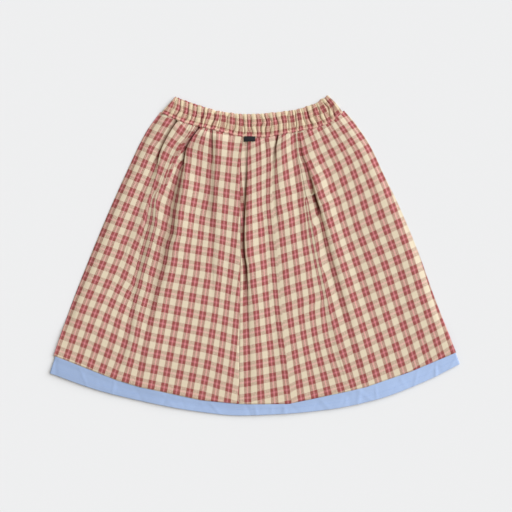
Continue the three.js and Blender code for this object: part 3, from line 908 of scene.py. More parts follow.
@dataclass(frozen=True)
class UnderLayer:
    """A plain layer as wide as the skirt, between the back's folds and the surface.

    Lengths are millimetres. A field that ends in over gives the two distances between which
    something comes or goes.

    Attributes:
        hem: its lower edge as a curve over x.
        level: how high its underside lies.
        drop, curl: how far the hem below the check falls, and how far its edge curls up again.
        wave: how high the hem's waves stand.
        inset, short: how much narrower and shorter than the outline it is.
        bunching: how much closer its rows of points are at the hem.
        waist_gap, side_gap: how far it stays inside the casing and the side edges.
        fold, fold_over: the height of the hem's turned fold, and where it ends.
    """

    name: str
    hem: Course
    level: float
    drop: float
    wave: float
    columns: int = 300
    rows: int = 110
    inset: float = 9.0
    curl: float = 0.0
    short: float = 0.0
    bunching: float = 1.35
    hem_ends: tuple[float, float] = (-373.0, 373.0)
    waist_ends: tuple[float, float] = (-174.0, 161.0)
    waist_gap: float = 0.6
    side_gap: float = 0.2
    tuck_over: tuple[float, float] = (4.0, 34.0)
    drop_over: tuple[float, float] = (1.5, 11.0)
    curl_over: tuple[float, float] = (6.0, 24.0)
    ripple_over: tuple[float, float] = (-20.0, 10.0)
    wrinkle_over: tuple[float, float] = (-2.0, 8.0)
    fold: float = 0.25
    fold_over: tuple[float, float] = (9.0, 11.0)
    wrinkles: Wrinkles = Wrinkles()

    def grid(self) -> Grid:
        """Work out the layer's points, hem first, left to right.

        Returns:
            The middle of the layer's cloth.
        """
        left, right = (height_course(tuple((y, x) for x, y in side)) for side in (SIDE_LEFT, SIDE_RIGHT))
        u = np.linspace(0, 1, self.columns)[None, :]
        v = np.linspace(0, 1, self.rows)[:, None] ** self.bunching
        x = self.hem_ends[0] * (1 - u) + self.hem_ends[1] * u
        top_x = (self.waist_ends[0] + self.inset) * (1 - u) + (self.waist_ends[1] - self.inset) * u
        for _ in range(3):
            low = self.hem(x) + self.short + 0 * v
            y = low + (WAIST(top_x) - self.waist_gap - low) * v
            inside = self.side_gap + self.short + self.inset * smooth(*self.tuck_over, y - HEM(x))
            x = (left(y) + inside) * (1 - u) + (right(y) - inside) * u
        below = HEM(x) - y
        fallen = self.drop * smooth(*self.drop_over, below) - self.curl * smooth(*self.curl_over, below)
        creases = self.wrinkles.height(x, y - self.hem(x)) * smooth(*self.wrinkle_over, below)
        ripple = self.ripple(x) * smooth(*self.ripple_over, below) + creases
        hem_fold = self.fold * (1 - smooth(*self.fold_over, y - self.hem(x)))
        z = self.level + CLOTH_MM - fallen + np.maximum(ripple, 0) * self.wave + hem_fold
        place = np.stack([x, y, z + 0 * x], axis=2) * MM
        return Grid(place, place[..., :2].copy())

    @staticmethod
    def ripple(x: np.ndarray) -> np.ndarray:
        """Give uneven waves along a hem, from 0 to about 1."""
        return 0.5 + 0.5 * sum(share * np.sin(x / length + phase) for length, phase, share in RIPPLES)

    def build(self, material: bpy.types.Material) -> bpy.types.Object:
        """Make the layer."""
        return shell(self.name, self.grid(), CLOTH_MM * MM, material)


# The check's columns on the casing, as (column, x at the seam, x where a row of the check
# crosses, x at the top, the share of the way up where it crosses).
CASING_COLUMNS: Table = (
    (-0.35, -174, -159.3, -147.5, 0.55), (0, -165.2, -155.6, -148, 0.55), (1, -151.3, -142.1, -140.4, 0.51),
    (2, -135.1, -127.5, -126.2, 0.51), (3, -119.9, -111.4, -111.4, 0.48), (4, -101.5, -97.5, -96.2, 0.55),
    (5, -94, -87, -83.6, 0.62), (6, -79.6, -71.2, -69, 0.64), (7, -62.3, -59, -59.8, 0.67),
    (8, -45.5, -42.6, -42.6, 0.63), (9, -28.7, -26.6, -27.8, 0.61), (10, -11.1, -11.5, -12.8, 0.58),
    (11, 6.7, 6.7, 3.7, 0.6), (12, 22.6, 23.5, 19.2, 0.61), (13, 38.7, 37, 33.5, 0.62),
    (14, 54.6, 53.3, 50, 0.64), (15, 70.5, 68.1, 65.1, 0.59), (16, 84, 80.7, 78.1, 0.65),
    (17, 101.8, 94.9, 91.2, 0.61), (18, 120.3, 111.7, 107.5, 0.67), (19, 136.9, 125.2, 117.7, 0.62),
    (20, 151.5, 139.5, 130.2, 0.68), (20.45, 161, 144, 134.5, 0.68),
)
# The valleys between the gathers, as (column, depth).
VALLEYS: Table = (
    (-0.35, 0.5), (0.38, 0.5), (1.12, 0.9), (1.6, 0.4), (2.22, 1), (2.7, 0.4), (3.2, 0.6), (4, 1.4),
    (4.6, 0.5), (5.72, 1.1), (6.5, 0.6), (7.0, 0.3), (7.45, 0.6), (8.3, 0.7), (8.8, 0.4), (9.35, 0.8),
    (9.85, 0.4), (10.25, 0.8), (10.8, 0.4), (11.3, 0.7), (11.75, 0.8), (12.35, 0.7), (13.25, 0.9),
    (13.8, 0.4), (14.5, 0.7), (15, 0.3), (15.45, 1), (15.85, 0.6), (16.5, 0.5), (17.15, 1.3),
    (17.7, 0.4), (18.4, 0.9), (18.9, 0.4), (19.4, 0.9), (19.85, 0.7), (20.45, 0.5),
)
# How the gathers lean and wander, as (columns, turns up the casing, turns for a column).
LEANS: Table = ((0.07, 5, 1.7), (0.05, 11, 0.9))
# Where the hidden half shows beyond the top edge, as (x, how far, half width).
FAR_EDGE: Table = ((95, 2.2, 4), (104, 2.2, 3), (121, 2.6, 4.5), (133, 1.6, 2.5))


@dataclass(frozen=True)
class Casing:
    """Half of the gathered elastic casing, charted by its columns of the check.

    Lengths are millimetres across the laid skirt, columns of the check along the cloth, and
    shares of the casing's height up it. A field that ends in over gives the two shares between
    which something comes or goes.

    Attributes:
        level, wall, gather: its underside's height, its thickness and the gathers' height.
        lip: how far it reaches over the panels.
        mirrored, peek: whether its gathers run the other way, and where it shows beyond the top.
        crest_power, full_gap, crest_limits: a crest's roundness, the gap of valleys that gives
            a full one, and the least and the most height.
        valley_limit, valley_share, crest_share: how the valleys' depth counts against a crest.
        notch_half, notch_depth: the narrow crease at the foot of each valley.
        stitched, pinch, pinch_half: where the stitches lie and how they pinch the casing.
        top_wave, top_mean, seam_wave, seam_mean: how far the gathers move the top edge and the
            seam, and the height at which they don't.
        thin: its least thickness, and its share of the wall at its edges.
        cord, cord_half, cord_least: the ridge of the seam allowance along the lip.
        edge_span, edge_step, edge_half: where and how often the panels' edge is measured.
        edge_sink, edge_gap: how far the lip may sink into its bumps, and how far over it lies.
        first_row, row_share: where the check's rows lie on the casing.
        shade, shade_at: how dark the painted shade in the valleys is.
    """

    name: str
    level: float
    wall: float
    gather: float
    mirrored: bool = False
    peek: Table = ()
    lip: float = 0.0
    crest_power: float = 0.8
    full_gap: float = 0.7
    crest_limits: tuple[float, float] = (0.55, 1.25)
    valley_limit: float = 1.4
    valley_share: float = 0.75
    crest_share: float = 0.55
    highest: float = 1.3
    notch_half: float = 0.08
    notch_depth: float = 0.4
    top_wave: float = 0.9
    top_mean: float = 0.7
    top_over: tuple[float, float] = (0.72, 1.0)
    seam_wave: float = 0.5
    seam_mean: float = 0.6
    seam_over: tuple[float, float] = (0.0, 0.1)
    stitched: float = 0.07
    pinch: float = 0.6
    pinch_half: float = 0.05
    thin: float = 0.2
    cord: float = 0.5
    cord_half: float = 0.03
    cord_least: float = 0.6
    join_over: tuple[float, float] = (0.01, 0.16)
    edge_span: float = 190.0
    edge_step: float = 2.0
    edge_half: float = 2.6
    edge_sink: float = 0.3
    edge_gap: float = 0.12
    first_row: float = 0.03
    row_share: float = 0.58
    shade: float = 0.8
    shade_at: tuple[float, float] = (1.25, 1.9)
    shade_over: tuple[float, float] = (0.02, 0.12)
    shade_out_over: tuple[float, float] = (0.8, 1.0)
    stitch_ends: int = 12
    stitch_rise: float = 0.0001
    columns: int = 420
    rows: int = 44

    def valleys(self) -> tuple[np.ndarray, np.ndarray]:
        """Read the chart of the gathers.

        Returns:
            Where the valleys are along the cloth, and how deep each is.
        """
        table = np.array(VALLEYS)
        if self.mirrored:
            turned = CASING_COLUMNS[0][0] + CASING_COLUMNS[-1][0]
            table = np.array([(turned - where, depth) for where, depth in VALLEYS[::-1]])
        return table[:, 0], table[:, 1]

    def relief(self, along: np.ndarray, v: np.ndarray) -> np.ndarray:
        """Give the gathers' height.

        Args:
            along: columns of the check along the casing.
            v: the share of the way from the seam to the top.

        Returns:
            The height at each place, from 0 in a deep valley to 1 on a broad crest.
        """
        where, depth = self.valleys()
        lean = sum(far * np.sin(up * v + onward * along) for far, up, onward in LEANS)
        at = np.clip(along + lean, where[0], where[-1] - 1e-6)
        k = np.clip(np.searchsorted(where, at, side="right") - 1, 0, len(where) - 2)
        gap = where[k + 1] - where[k]
        f = (at - where[k]) / gap
        crest = np.sin(np.pi * np.clip(f, 0, 1)) ** self.crest_power
        crest = crest * np.clip(gap / self.full_gap, *self.crest_limits)
        sunk = np.clip(depth[k] * (1 - f) ** 3 + depth[k + 1] * f ** 3, 0, self.valley_limit)
        floor = 1 - sunk * self.valley_share
        nearer, away = np.where(f < 0.5, depth[k], depth[k + 1]), np.minimum(f, 1 - f) * gap
        notch = self.notch_depth * nearer ** 2 * np.exp(-((away / self.notch_half) ** 2))
        whole = crest * self.crest_share + floor * (1 - self.crest_share)
        return np.clip(whole - notch, 0, self.highest)

    def grid(self, panels: list[Grid]) -> tuple[Grid, np.ndarray]:
        """Work out the middle of the casing and its thickness.

        Args:
            panels: what its lip lies on, left to right, or nothing.

        Returns:
            The middle of its cloth, and how thick it is there.
        """
        table = np.array(CASING_COLUMNS)
        keys = table[:, 0]
        along = np.linspace(keys[0], keys[-1], self.columns)[None, :]
        eased = 0.5 - 0.5 * np.cos(np.linspace(0, np.pi, self.rows))[:, None]
        v = -self.lip + (1 + self.lip) * eased
        low, middle, high, crossing = (Course(keys, table[:, item])(along) for item in (1, 2, 3, 4))
        crest = self.relief(along, v)
        bend = v / crossing
        x = np.where(bend < 1, low + (middle - low) * bend,
                     middle + (high - middle) * (v - crossing) / (1 - crossing))
        seam_y, top_y = WAIST(low), height_course(BAND_TOP)(high)
        y = seam_y + (top_y - seam_y) * v
        top_edge = self.top_wave * self.gather * (crest - self.top_mean) + self.far_edge(high)
        y = y + top_edge * smooth(*self.top_over, v)
        seam_edge = self.seam_wave * self.gather * (crest - self.seam_mean)
        y = y + seam_edge * (1 - smooth(*self.seam_over, v))
        swell = np.sqrt(np.clip(1 - (2 * np.maximum(v, 0) - 1) ** 4, 0, 1))
        swell = swell * (1 - self.pinch * np.exp(-((v - self.stitched) / self.pinch_half) ** 2))
        thick = self.wall * (self.thin + (1 - self.thin) * swell) + self.gather * crest * swell
        thick = np.maximum(thick, self.thin)
        z = self.level + thick / 2
        if panels:
            ridge = self.cord * (self.cord_least + (1 - self.cord_least) * crest)
            ridge = ridge * np.exp(-((v / self.cord_half) ** 2))
            thick = np.maximum(thick, self.edge_sink + ridge)
            over = np.maximum(self.edge_height(panels, x) - self.level, 0)
            z = self.level + thick / 2 + (1 - smooth(*self.join_over, v)) * over
        place = np.stack([x, y, z], axis=2) * MM
        row = np.where(bend < 1, (v - self.first_row) / (crossing - self.first_row),
                       1 + (v - crossing) / self.row_share)
        flat = np.stack([(along + 0 * v) * COLUMN_MM, row * ROW_MM], axis=2) * MM
        # Painted shade in the gathers' valleys, passed on as the grid's fold shade.
        valley = np.clip(self.shade_at[0] - self.shade_at[1] * crest, 0, 1)
        valley = valley * smooth(*self.shade_over, v) * (1 - smooth(*self.shade_out_over, v))
        return Grid(place, flat, self.shade * valley), thick * MM

    def edge_height(self, panels: list[Grid], x: np.ndarray) -> np.ndarray:
        """Give the height of the panels' top edge, rounded off over a few millimetres.

        Args:
            panels: the cloth that the lip lies on.
            x: places across, in millimetres.

        Returns:
            The height at each place, in millimetres.
        """
        edge = np.concatenate([panel.points[-2:].reshape(-1, 3) for panel in panels]) / MM
        bins = np.arange(-self.edge_span, self.edge_span, self.edge_step)
        near = [edge[np.abs(edge[:, 0] - at) < self.edge_half, 2] for at in bins]
        highest = np.array([heights.max(initial=0.0) for heights in near])
        highest = np.where(highest > 0, highest, highest[highest > 0].min())
        soft = np.convolve(np.pad(highest, 2, mode="edge"), (0.1, 0.2, 0.4, 0.2, 0.1), mode="valid")
        return np.interp(x, bins, np.maximum(soft, highest - self.edge_sink)) + self.edge_gap

    def far_edge(self, x: np.ndarray) -> np.ndarray:
        """Give how far the top edge stands out beyond the charted one."""
        return sum((out * np.exp(-((x - centre) / half) ** 2) for centre, out, half in self.peek), 0 * x)

    def seam_path(self, panels: list[Grid]) -> np.ndarray:
        """Find the line that the casing is topstitched along, just above its lip.

        Args:
            panels: what its lip lies on.

        Returns:
            The line's points, in metres.
        """
        grid, thick = self.grid(panels)
        up_cloth = grid.cloth[:, self.columns // 2, 1] / (ROW_MM * MM)
        row = int(np.argmin(np.abs(up_cloth - self.stitched)))
        up = np.zeros((self.columns, 3))
        up[:, 2] = thick[row] / 2 + self.stitch_rise
        return (grid.points[row] + up)[self.stitch_ends:-self.stitch_ends]

    def build(self, material: bpy.types.Material, panels: list[Grid]) -> bpy.types.Object:
        """Make this half of the casing, its lip lying on the panels if there are any."""
        grid, thick = self.grid(panels)
        return shell(self.name, grid, thick, material)


@dataclass(frozen=True)
class Tab:
    """The small black woven tab in the waist seam at centre back.

    Lengths are millimetres. The bows and the dips are each for across and up the tab.
    """

    name: str = "woven_tab"
    width: float = 21.0
    height: float = 9.5
    middle_x: float = -11.0
    top_y: float = 219.0
    thickness: float = 0.7
    edge_bow: float = 0.25
    bows: tuple[float, float] = (0.4, 0.3)
    dips: tuple[float, float] = (0.35, 0.3)
    dip_within: tuple[float, float] = (0.06, 0.14)
    sewn_columns: tuple[int, int] = (5, -6)
    stitch_rise: float = 0.6
    columns: int = 60
    rows: int = 28

    def grid(self, level: float) -> Grid:
        """Work out the tab's points, its ends turned under.

        Args:
            level: how high it lies, in millimetres.

        Returns:
            The middle of the tab.
        """
        u = np.linspace(-0.5, 0.5, self.columns)[None, :]
        v = np.linspace(0, 1, self.rows)[:, None]
        x = self.middle_x + self.width * u + 0 * v
        y = self.top_y - self.height * (1 - v) + self.edge_bow * np.cos(u * 5) + 0 * u
        bow = self.bows[0] * np.cos(np.pi * u) + self.bows[1] * np.sin(np.pi * v)
        ends = self.dips[0] * (1 - smooth(0, self.dip_within[0], 0.5 - np.abs(u)))
        ends = ends + self.dips[1] * (1 - smooth(0, self.dip_within[1], v))
        place = np.stack([x, y, level + bow - ends], axis=2) * MM
        return Grid(place, place[..., :2].copy())

    def end_paths(self, level: float) -> list[np.ndarray]:
        """Give the lines that it is sewn down along, near its two ends."""
        points, rise = self.grid(level).points, self.thickness * MM * self.stitch_rise
        return [points[4:-2, column] + (0, 0, rise) for column in self.sewn_columns]

    def build(self, material: bpy.types.Material, level: float) -> bpy.types.Object:
        """Make the tab at a level in millimetres."""
        return shell(self.name, self.grid(level), self.thickness * MM, material)


def path_at(grid: Grid, from_edge: float, above: float) -> np.ndarray:
    """Follow a cloth's first edge at a distance from it.

    Args:
        grid: the middle of the cloth, its edge first.
        from_edge: how far inside the edge the path runs, in metres.
        above: how far over the middle of the cloth it lies, in metres.

    Returns:
        The path's points.
    """
    steps = np.linalg.norm(np.diff(grid.points, axis=0), axis=2)
    gone = np.concatenate([np.zeros_like(steps[:1]), np.cumsum(steps, axis=0)])
    path = [[np.interp(from_edge, gone[:, c], grid.points[:, c, axis]) for axis in range(3)]
            for c in range(grid.points.shape[1])]
    return np.array(path) + (0, 0, above)


@dataclass(frozen=True)
class Stitching:
    """Rows of short stitches along paths, made by Geometry Nodes, with sizes in metres."""

    thread: bpy.types.Material
    slot: Slot
    pitch: float = 0.003
    length: float = 0.0023
    width: float = 0.00045
    uneven: tuple[float, float] = (0.86, 1.04)
    seed: int = 5

    def tree(self) -> bpy.types.NodeTree:
        """Make the node tree: a stitch at each step along every path, lying along it.

        Returns:
            The new tree.
        """
        tree = bpy.data.node_groups.new("stitch_rows", "GeometryNodeTree")
        for name, kind, direction in (("Geometry", "NodeSocketGeometry", "INPUT"),
                                      ("Pitch", "NodeSocketFloat", "INPUT"),
                                      ("Size", "NodeSocketVector", "INPUT"),
                                      ("Thread", "NodeSocketMaterial", "INPUT"),
                                      ("Geometry", "NodeSocketGeometry", "OUTPUT")):
            tree.interface.new_socket(name, in_out=direction, socket_type=kind)
        kit = NodeTree(tree)
        inside, out = kit.add("NodeGroupInput"), kit.add("NodeGroupOutput")
        curve = kit.add("GeometryNodeMeshToCurve", {"Mesh": inside.outputs["Geometry"]})
        steps = kit.add("GeometryNodeResampleCurve", {
            "Curve": curve.outputs[0], "Length": inside.outputs["Pitch"]}, mode="LENGTH")
        ball = kit.add("GeometryNodeMeshUVSphere", {"Segments": 6, "Rings": 5, "Radius": 0.5})
        stitch = kit.add("GeometryNodeTransform", {
            "Geometry": ball.outputs["Mesh"], "Scale": inside.outputs["Size"]})
        tangent = kit.add("GeometryNodeInputTangent")
        turn = kit.add("FunctionNodeAlignRotationToVector", {"Vector": tangent.outputs[0]}, axis="X")
        uneven = kit.add("FunctionNodeRandomValue", data_type="FLOAT")
        uneven.inputs[2].default_value, uneven.inputs[3].default_value = self.uneven
        uneven.inputs["Seed"].default_value = self.seed
        placed = kit.add("GeometryNodeInstanceOnPoints", {
            "Points": steps.outputs[0], "Instance": stitch.outputs[0],
            "Rotation": turn.outputs[0], "Scale": uneven.outputs[1]})
        real = kit.add("GeometryNodeRealizeInstances", {"Geometry": placed.outputs[0]})
        sewn = kit.add("GeometryNodeSetMaterial", {
            "Geometry": real.outputs[0], "Material": inside.outputs["Thread"]})
        tree.links.new(sewn.outputs[0], out.inputs["Geometry"])
        return tree

    def build(self, name: str, paths: list[np.ndarray]) -> bpy.types.Object:
        """Sew rows of stitches along paths, and make the result a plain mesh.

        Args:
            name: the piece's name.
            paths: the points that each row follows, in metres.

        Returns:
            The new object, at the origin.
        """
        points, edges = [], []
        for path in paths:
            first = len(points)
            points.extend(map(tuple, path))
            edges.extend((first + k, first + k + 1) for k in range(len(path) - 1))
        guide = bpy.data.meshes.new(name)
        guide.from_pydata(points, edges, [])
        piece = bpy.data.objects.new(name, guide)
        bpy.context.scene.collection.objects.link(piece)
        tree = self.tree()
        modifier = piece.modifiers.new("stitches", "NODES")
        modifier.node_group = tree
        values = {"Pitch": self.pitch, "Size": (self.length, self.width, self.width), "Thread": self.thread}
        for item in tree.interface.items_tree:
            if item.in_out == "INPUT" and item.name in values:
                modifier[item.identifier] = values[item.name]
        evaluated = piece.evaluated_get(bpy.context.evaluated_depsgraph_get())
        mesh = bpy.data.meshes.new_from_object(evaluated)
        piece.modifiers.clear()
        piece.data = mesh
        bpy.data.meshes.remove(guide)
        mesh.name = name
        mesh.polygons.foreach_set("use_smooth", np.ones(len(mesh.polygons), dtype=bool))
        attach(piece, "root")
        LOG.info("%s sewn, %d rows", name, len(paths))
        return piece


def srgb(red: int, green: int, blue: int) -> Colour:
    """Turn a display colour into the linear one that shaders use.

    Args:
        red: from 0 to 255.
        green: from 0 to 255.
        blue: from 0 to 255.

    Returns:
        The linear red, green and blue, and an opaque alpha.
    """
    def linear(value: int) -> float:
        """Undo the display's curve for one channel."""
        c = value / 255
        return c / 12.92 if c <= 0.04045 else ((c + 0.055) / 1.055) ** 2.4

    return linear(red), linear(green), linear(blue), 1.0


class NodeTree:
    """A short way to add and join the nodes of a shader or a geometry tree."""

    def __init__(self, tree: bpy.types.NodeTree) -> None:
        """Work on this tree."""
        self.tree = tree

    def add(self, kind: str, inputs: dict[str | int, object] | None = None,
            **settings: object) -> bpy.types.Node:
        """Add a node.

        Args:
            kind: the node's type, such as ShaderNodeMath.
            inputs: for each input's name or number, a socket to join or a value to set.
            **settings: the node's own properties.

        Returns:
            The new node.
        """
        node = self.tree.nodes.new(kind)
        for key, value in settings.items():
            setattr(node, key, value)
        for key, value in (inputs or {}).items():
            if isinstance(value, bpy.types.NodeSocket):
                self.tree.links.new(value, node.inputs[key])
            else:
                node.inputs[key].default_value = value
        return node

    def math(self, operation: str, *values: bpy.types.NodeSocket | float) -> bpy.types.NodeSocket:
        """Add a math node and give its result."""
        return self.add("ShaderNodeMath", dict(enumerate(values)), operation=operation).outputs[0]

    def mix(self, factor: bpy.types.NodeSocket, first: bpy.types.NodeSocket | Colour,
            second: bpy.types.NodeSocket | Colour) -> bpy.types.NodeSocket:
        """Mix two colours.

        Args:
            factor: how much of the second there is.
            first: a socket or a colour.
            second: a socket or a colour.

        Returns:
            The mixed colour's socket.
        """
        node = self.add("ShaderNodeMix", data_type="RGBA")
        for socket, value in ((node.inputs[0], factor), (node.inputs[6], first), (node.inputs[7], second)):
            if isinstance(value, bpy.types.NodeSocket):
                self.tree.links.new(value, socket)
            else:
                socket.default_value = value
        return node.outputs[2]


def new_group(name: str, inputs: dict[str, tuple[str, float]], outputs: dict[str, str]) -> NodeTree:
    """Start a shader node group with named sockets.

    Args:
        name: the group's name.
        inputs: for each input, its socket type and its default value.
        outputs: for each output, its socket type.

    Returns:
        The tree, which holds the group's input and output nodes.
    """
    tree = bpy.data.node_groups.new(name, "ShaderNodeTree")
    for key, (kind, default) in inputs.items():
        socket = tree.interface.new_socket(key, in_out="INPUT", socket_type=kind)
        if kind == "NodeSocketFloat":
            socket.default_value = default
    for key, kind in outputs.items():
        tree.interface.new_socket(key, in_out="OUTPUT", socket_type=kind)
    return NodeTree(tree)


def weave_group() -> bpy.types.NodeTree:
    """Make the plain weave: which yarn is on top, the yarns' round backs, and their unevenness.

    Returns:
        The new group.
    """
    kit = new_group("plain_weave", {"Cloth": ("NodeSocketVector", 0), "Pitch": ("NodeSocketFloat", 0.0005)},
                    {name: "NodeSocketFloat" for name in ("Warp On Top", "Height", "Slub")})
    inside, out = kit.add("NodeGroupInput"), kit.add("NodeGroupOutput")
    parts = kit.add("ShaderNodeSeparateXYZ", {0: inside.outputs["Cloth"]})
    yarns = [kit.math("DIVIDE", parts.outputs[axis], inside.outputs["Pitch"]) for axis in (0, 1)]
    waves = [kit.math("SINE", kit.math("MULTIPLY", value, math.pi)) for value in yarns]
    checker = kit.math("SIGN", kit.math("MULTIPLY", *waves))
    under, over = WARP_SHARES
    top = kit.math("MULTIPLY_ADD", checker, (over - under) / 2, (over + under) / 2)
    round_backs = kit.math("ADD", *(kit.math("ABSOLUTE", wave) for wave in waves))
    streaks = []
    for scale in ((*SLUB_SCALES, 1.0), (*SLUB_SCALES[::-1], 1.0)):
        spread = kit.add("ShaderNodeVectorMath", {0: inside.outputs["Cloth"], 1: scale},
                         operation="MULTIPLY")
        noise = kit.add("ShaderNodeTexNoise", {"Vector": spread.outputs[0], "Scale": 1.0, "Detail": 2.0})
        streaks.append(noise.outputs["Fac"])
    slub = kit.math("MULTIPLY", kit.math("ADD", *streaks), 0.5)
    for name, value in (("Warp On Top", top), ("Height", round_backs), ("Slub", slub)):
        kit.tree.links.new(value, out.inputs[name])
    return kit.tree


def sett_group() -> bpy.types.NodeTree:
    """Make one direction of the check: a thin stripe with a broad stripe on each side.

    Returns:
        The new group.
    """
    sockets = {"Place": 0, "Repeat": 0.024, "Thin Half": 0.06, "Broad End": 0.265}
    kit = new_group("check_sett", {name: ("NodeSocketFloat", value) for name, value in sockets.items()},
                    {"Thin": "NodeSocketFloat", "Broad": "NodeSocketFloat"})
    inside, out = kit.add("NodeGroupInput"), kit.add("NodeGroupOutput")
    turns = kit.math("DIVIDE", inside.outputs["Place"], inside.outputs["Repeat"])
    away = kit.math("PINGPONG", turns, 0.5)
    thin = kit.math("LESS_THAN", away, inside.outputs["Thin Half"])
    both = kit.math("LESS_THAN", away, inside.outputs["Broad End"])
    kit.tree.links.new(thin, out.inputs["Thin"])
    kit.tree.links.new(kit.math("SUBTRACT", both, thin), out.inputs["Broad"])
    return kit.tree


@dataclass(frozen=True)
class Surface:
    """How a woven cloth takes the light, with its yarns' pitch and depth in metres."""

    roughness: float = 0.8
    pitch: float = 0.0004
    bump: float = 0.3
    depth: float = 0.0001
    slub: float = 0.24
    specular: float = 0.25
    sheen: float = 0.0

    def weave(self, kit: NodeTree, group: bpy.types.NodeTree, place: bpy.types.NodeSocket) -> bpy.types.Node:
        """Add the weave.

        Args:
            kit: the material's tree.
            group: the plain weave.
            place: each point's place on the cloth.

        Returns:
            The weave's node.
        """
        node = kit.add("ShaderNodeGroup", node_tree=group)
        node.inputs["Pitch"].default_value = self.pitch
        kit.tree.links.new(place, node.inputs["Cloth"])
        return node

    def finish(self, kit: NodeTree, weave: bpy.types.Node, colour: bpy.types.NodeSocket,
               shade: bpy.types.NodeSocket | float = 1.0) -> None:
        """Join a cloth's colour and its weave to its shader.

        Args:
            kit: the material's tree.
            weave: the weave's node.
            colour: the cloth's colour.
            shade: how light it is.
        """
        shader = kit.tree.nodes["Principled BSDF"]
        slub = kit.math("MULTIPLY_ADD", weave.outputs["Slub"], self.slub, 1 - self.slub / 2)
        tint = kit.add("ShaderNodeVectorMath", {0: colour, "Scale": kit.math("MULTIPLY", shade, slub)},
                       operation="SCALE")
        bump = kit.add("ShaderNodeBump", {"Height": weave.outputs["Height"], "Strength": self.bump,
                                          "Distance": self.depth})
        kit.tree.links.new(tint.outputs[0], shader.inputs["Base Color"])
        kit.tree.links.new(bump.outputs[0], shader.inputs["Normal"])
        shader.inputs["Roughness"].default_value = self.roughness
        shader.inputs["Specular IOR Level"].default_value = self.specular
        shader.inputs["Sheen Weight"].default_value = self.sheen
        shader.inputs["Sheen Roughness"].default_value = 0.5


@dataclass(frozen=True)
class Yarns:
    """The three yarn colours of the check, as display colours."""

    ground: tuple[int, int, int]
    broad: tuple[int, int, int]
    thin: tuple[int, int, int]


@dataclass(frozen=True)
class CheckCloth:
    """Soft cotton, woven in a small check from three yarn colours.

    The broad ends are the halves of a broad stripe, as shares of a repeat, across and down. The
    fold shade is the warm dark tint painted where shade falls in a full fold.
    """

    weave: bpy.types.NodeTree
    sett: bpy.types.NodeTree
    yarns: Yarns = Yarns(ground=(220, 205, 178), broad=(149, 79, 74), thin=(211, 131, 135))
    broad_ends: tuple[float, float] = (0.272, 0.28)
    # Painted shade: the tint of a full fold.
    fold_shade: tuple[float, float, float] = (0.3, 0.16, 0.12)
    surface: Surface = Surface(roughness=0.88, pitch=0.0005, bump=0.35, depth=0.00012, slub=0.3, sheen=0.08)

    def build(self, name: str = "check_cloth") -> bpy.types.Material:
        """Make the material.

        Args:
            name: the material's name.

        Returns:
            The new material.
        """
        material = bpy.data.materials.new(name)
        material.use_nodes = True
        kit = NodeTree(material.node_tree)
        cloth = kit.add("ShaderNodeUVMap", uv_map="cloth").outputs[0]
        parts = kit.add("ShaderNodeSeparateXYZ", {0: cloth})
        weave = self.surface.weave(kit, self.weave, cloth)
        yarn = []
        for axis, repeat in enumerate((COLUMN_MM * MM, ROW_MM * MM)):
            sett = kit.add("ShaderNodeGroup", node_tree=self.sett)
            sett.inputs["Broad End"].default_value = self.broad_ends[axis]
            sett.inputs["Repeat"].default_value = repeat
            kit.tree.links.new(parts.outputs[axis], sett.inputs["Place"])
            colour = kit.mix(sett.outputs["Broad"], srgb(*self.yarns.ground), srgb(*self.yarns.broad))
            yarn.append(kit.mix(sett.outputs["Thin"], colour, srgb(*self.yarns.thin)))
        colour = kit.mix(weave.outputs["Warp On Top"], yarn[1], yarn[0])
        # Painted shade: darken and warm the cloth by its fold_shade attribute, in folds and gathers'
        # valleys.
        fold_shade = kit.add("ShaderNodeAttribute", attribute_name="fold_shade").outputs["Fac"]
        dark = kit.mix(fold_shade, (1.0, 1.0, 1.0, 1.0), (*self.fold_shade, 1.0))
        shaded = kit.add("ShaderNodeVectorMath", {0: colour, 1: dark}, operation="MULTIPLY")
        self.surface.finish(kit, weave, shaded.outputs[0])
        return material


@dataclass(frozen=True)
class PlainCloth:
    """Plain-woven cloth with a warp and a weft colour, for the under-layer, the tab and thread.

    The cloud is how much its shade wanders, and the painted side light how much lighter it is
    painted with each metre to the right, where the light falls from.
    """

    weave: bpy.types.NodeTree
    name: str
    warp: tuple[int, int, int]
    weft: tuple[int, int, int]
    surface: Surface = Surface()
    cloud: float = 0.05
    painted_side_light: float = 0.0

    def build(self) -> bpy.types.Material:
        """Make the material.

        Returns:
            The new material.
        """
        material = bpy.data.materials.new(self.name)
        material.use_nodes = True
        kit = NodeTree(material.node_tree)
        place = kit.add("ShaderNodeTexCoord").outputs["Object"]
        weave = self.surface.weave(kit, self.weave, place)
        colour = kit.mix(weave.outputs["Warp On Top"], srgb(*self.weft), srgb(*self.warp))
        cloud = kit.add("ShaderNodeTexNoise", {"Vector": place, "Scale": 28.0, "Detail": 3.0})
        shade = kit.math("MULTIPLY_ADD", cloud.outputs["Fac"], self.cloud * 2, 1 - self.cloud)
        # Painted light: lighter towards the right, where the light falls from.
        across = kit.add("ShaderNodeSeparateXYZ", {0: place}).outputs[0]
        self.surface.finish(kit, weave, colour, kit.math("MULTIPLY_ADD", across, self.painted_side_light, shade))
        return material


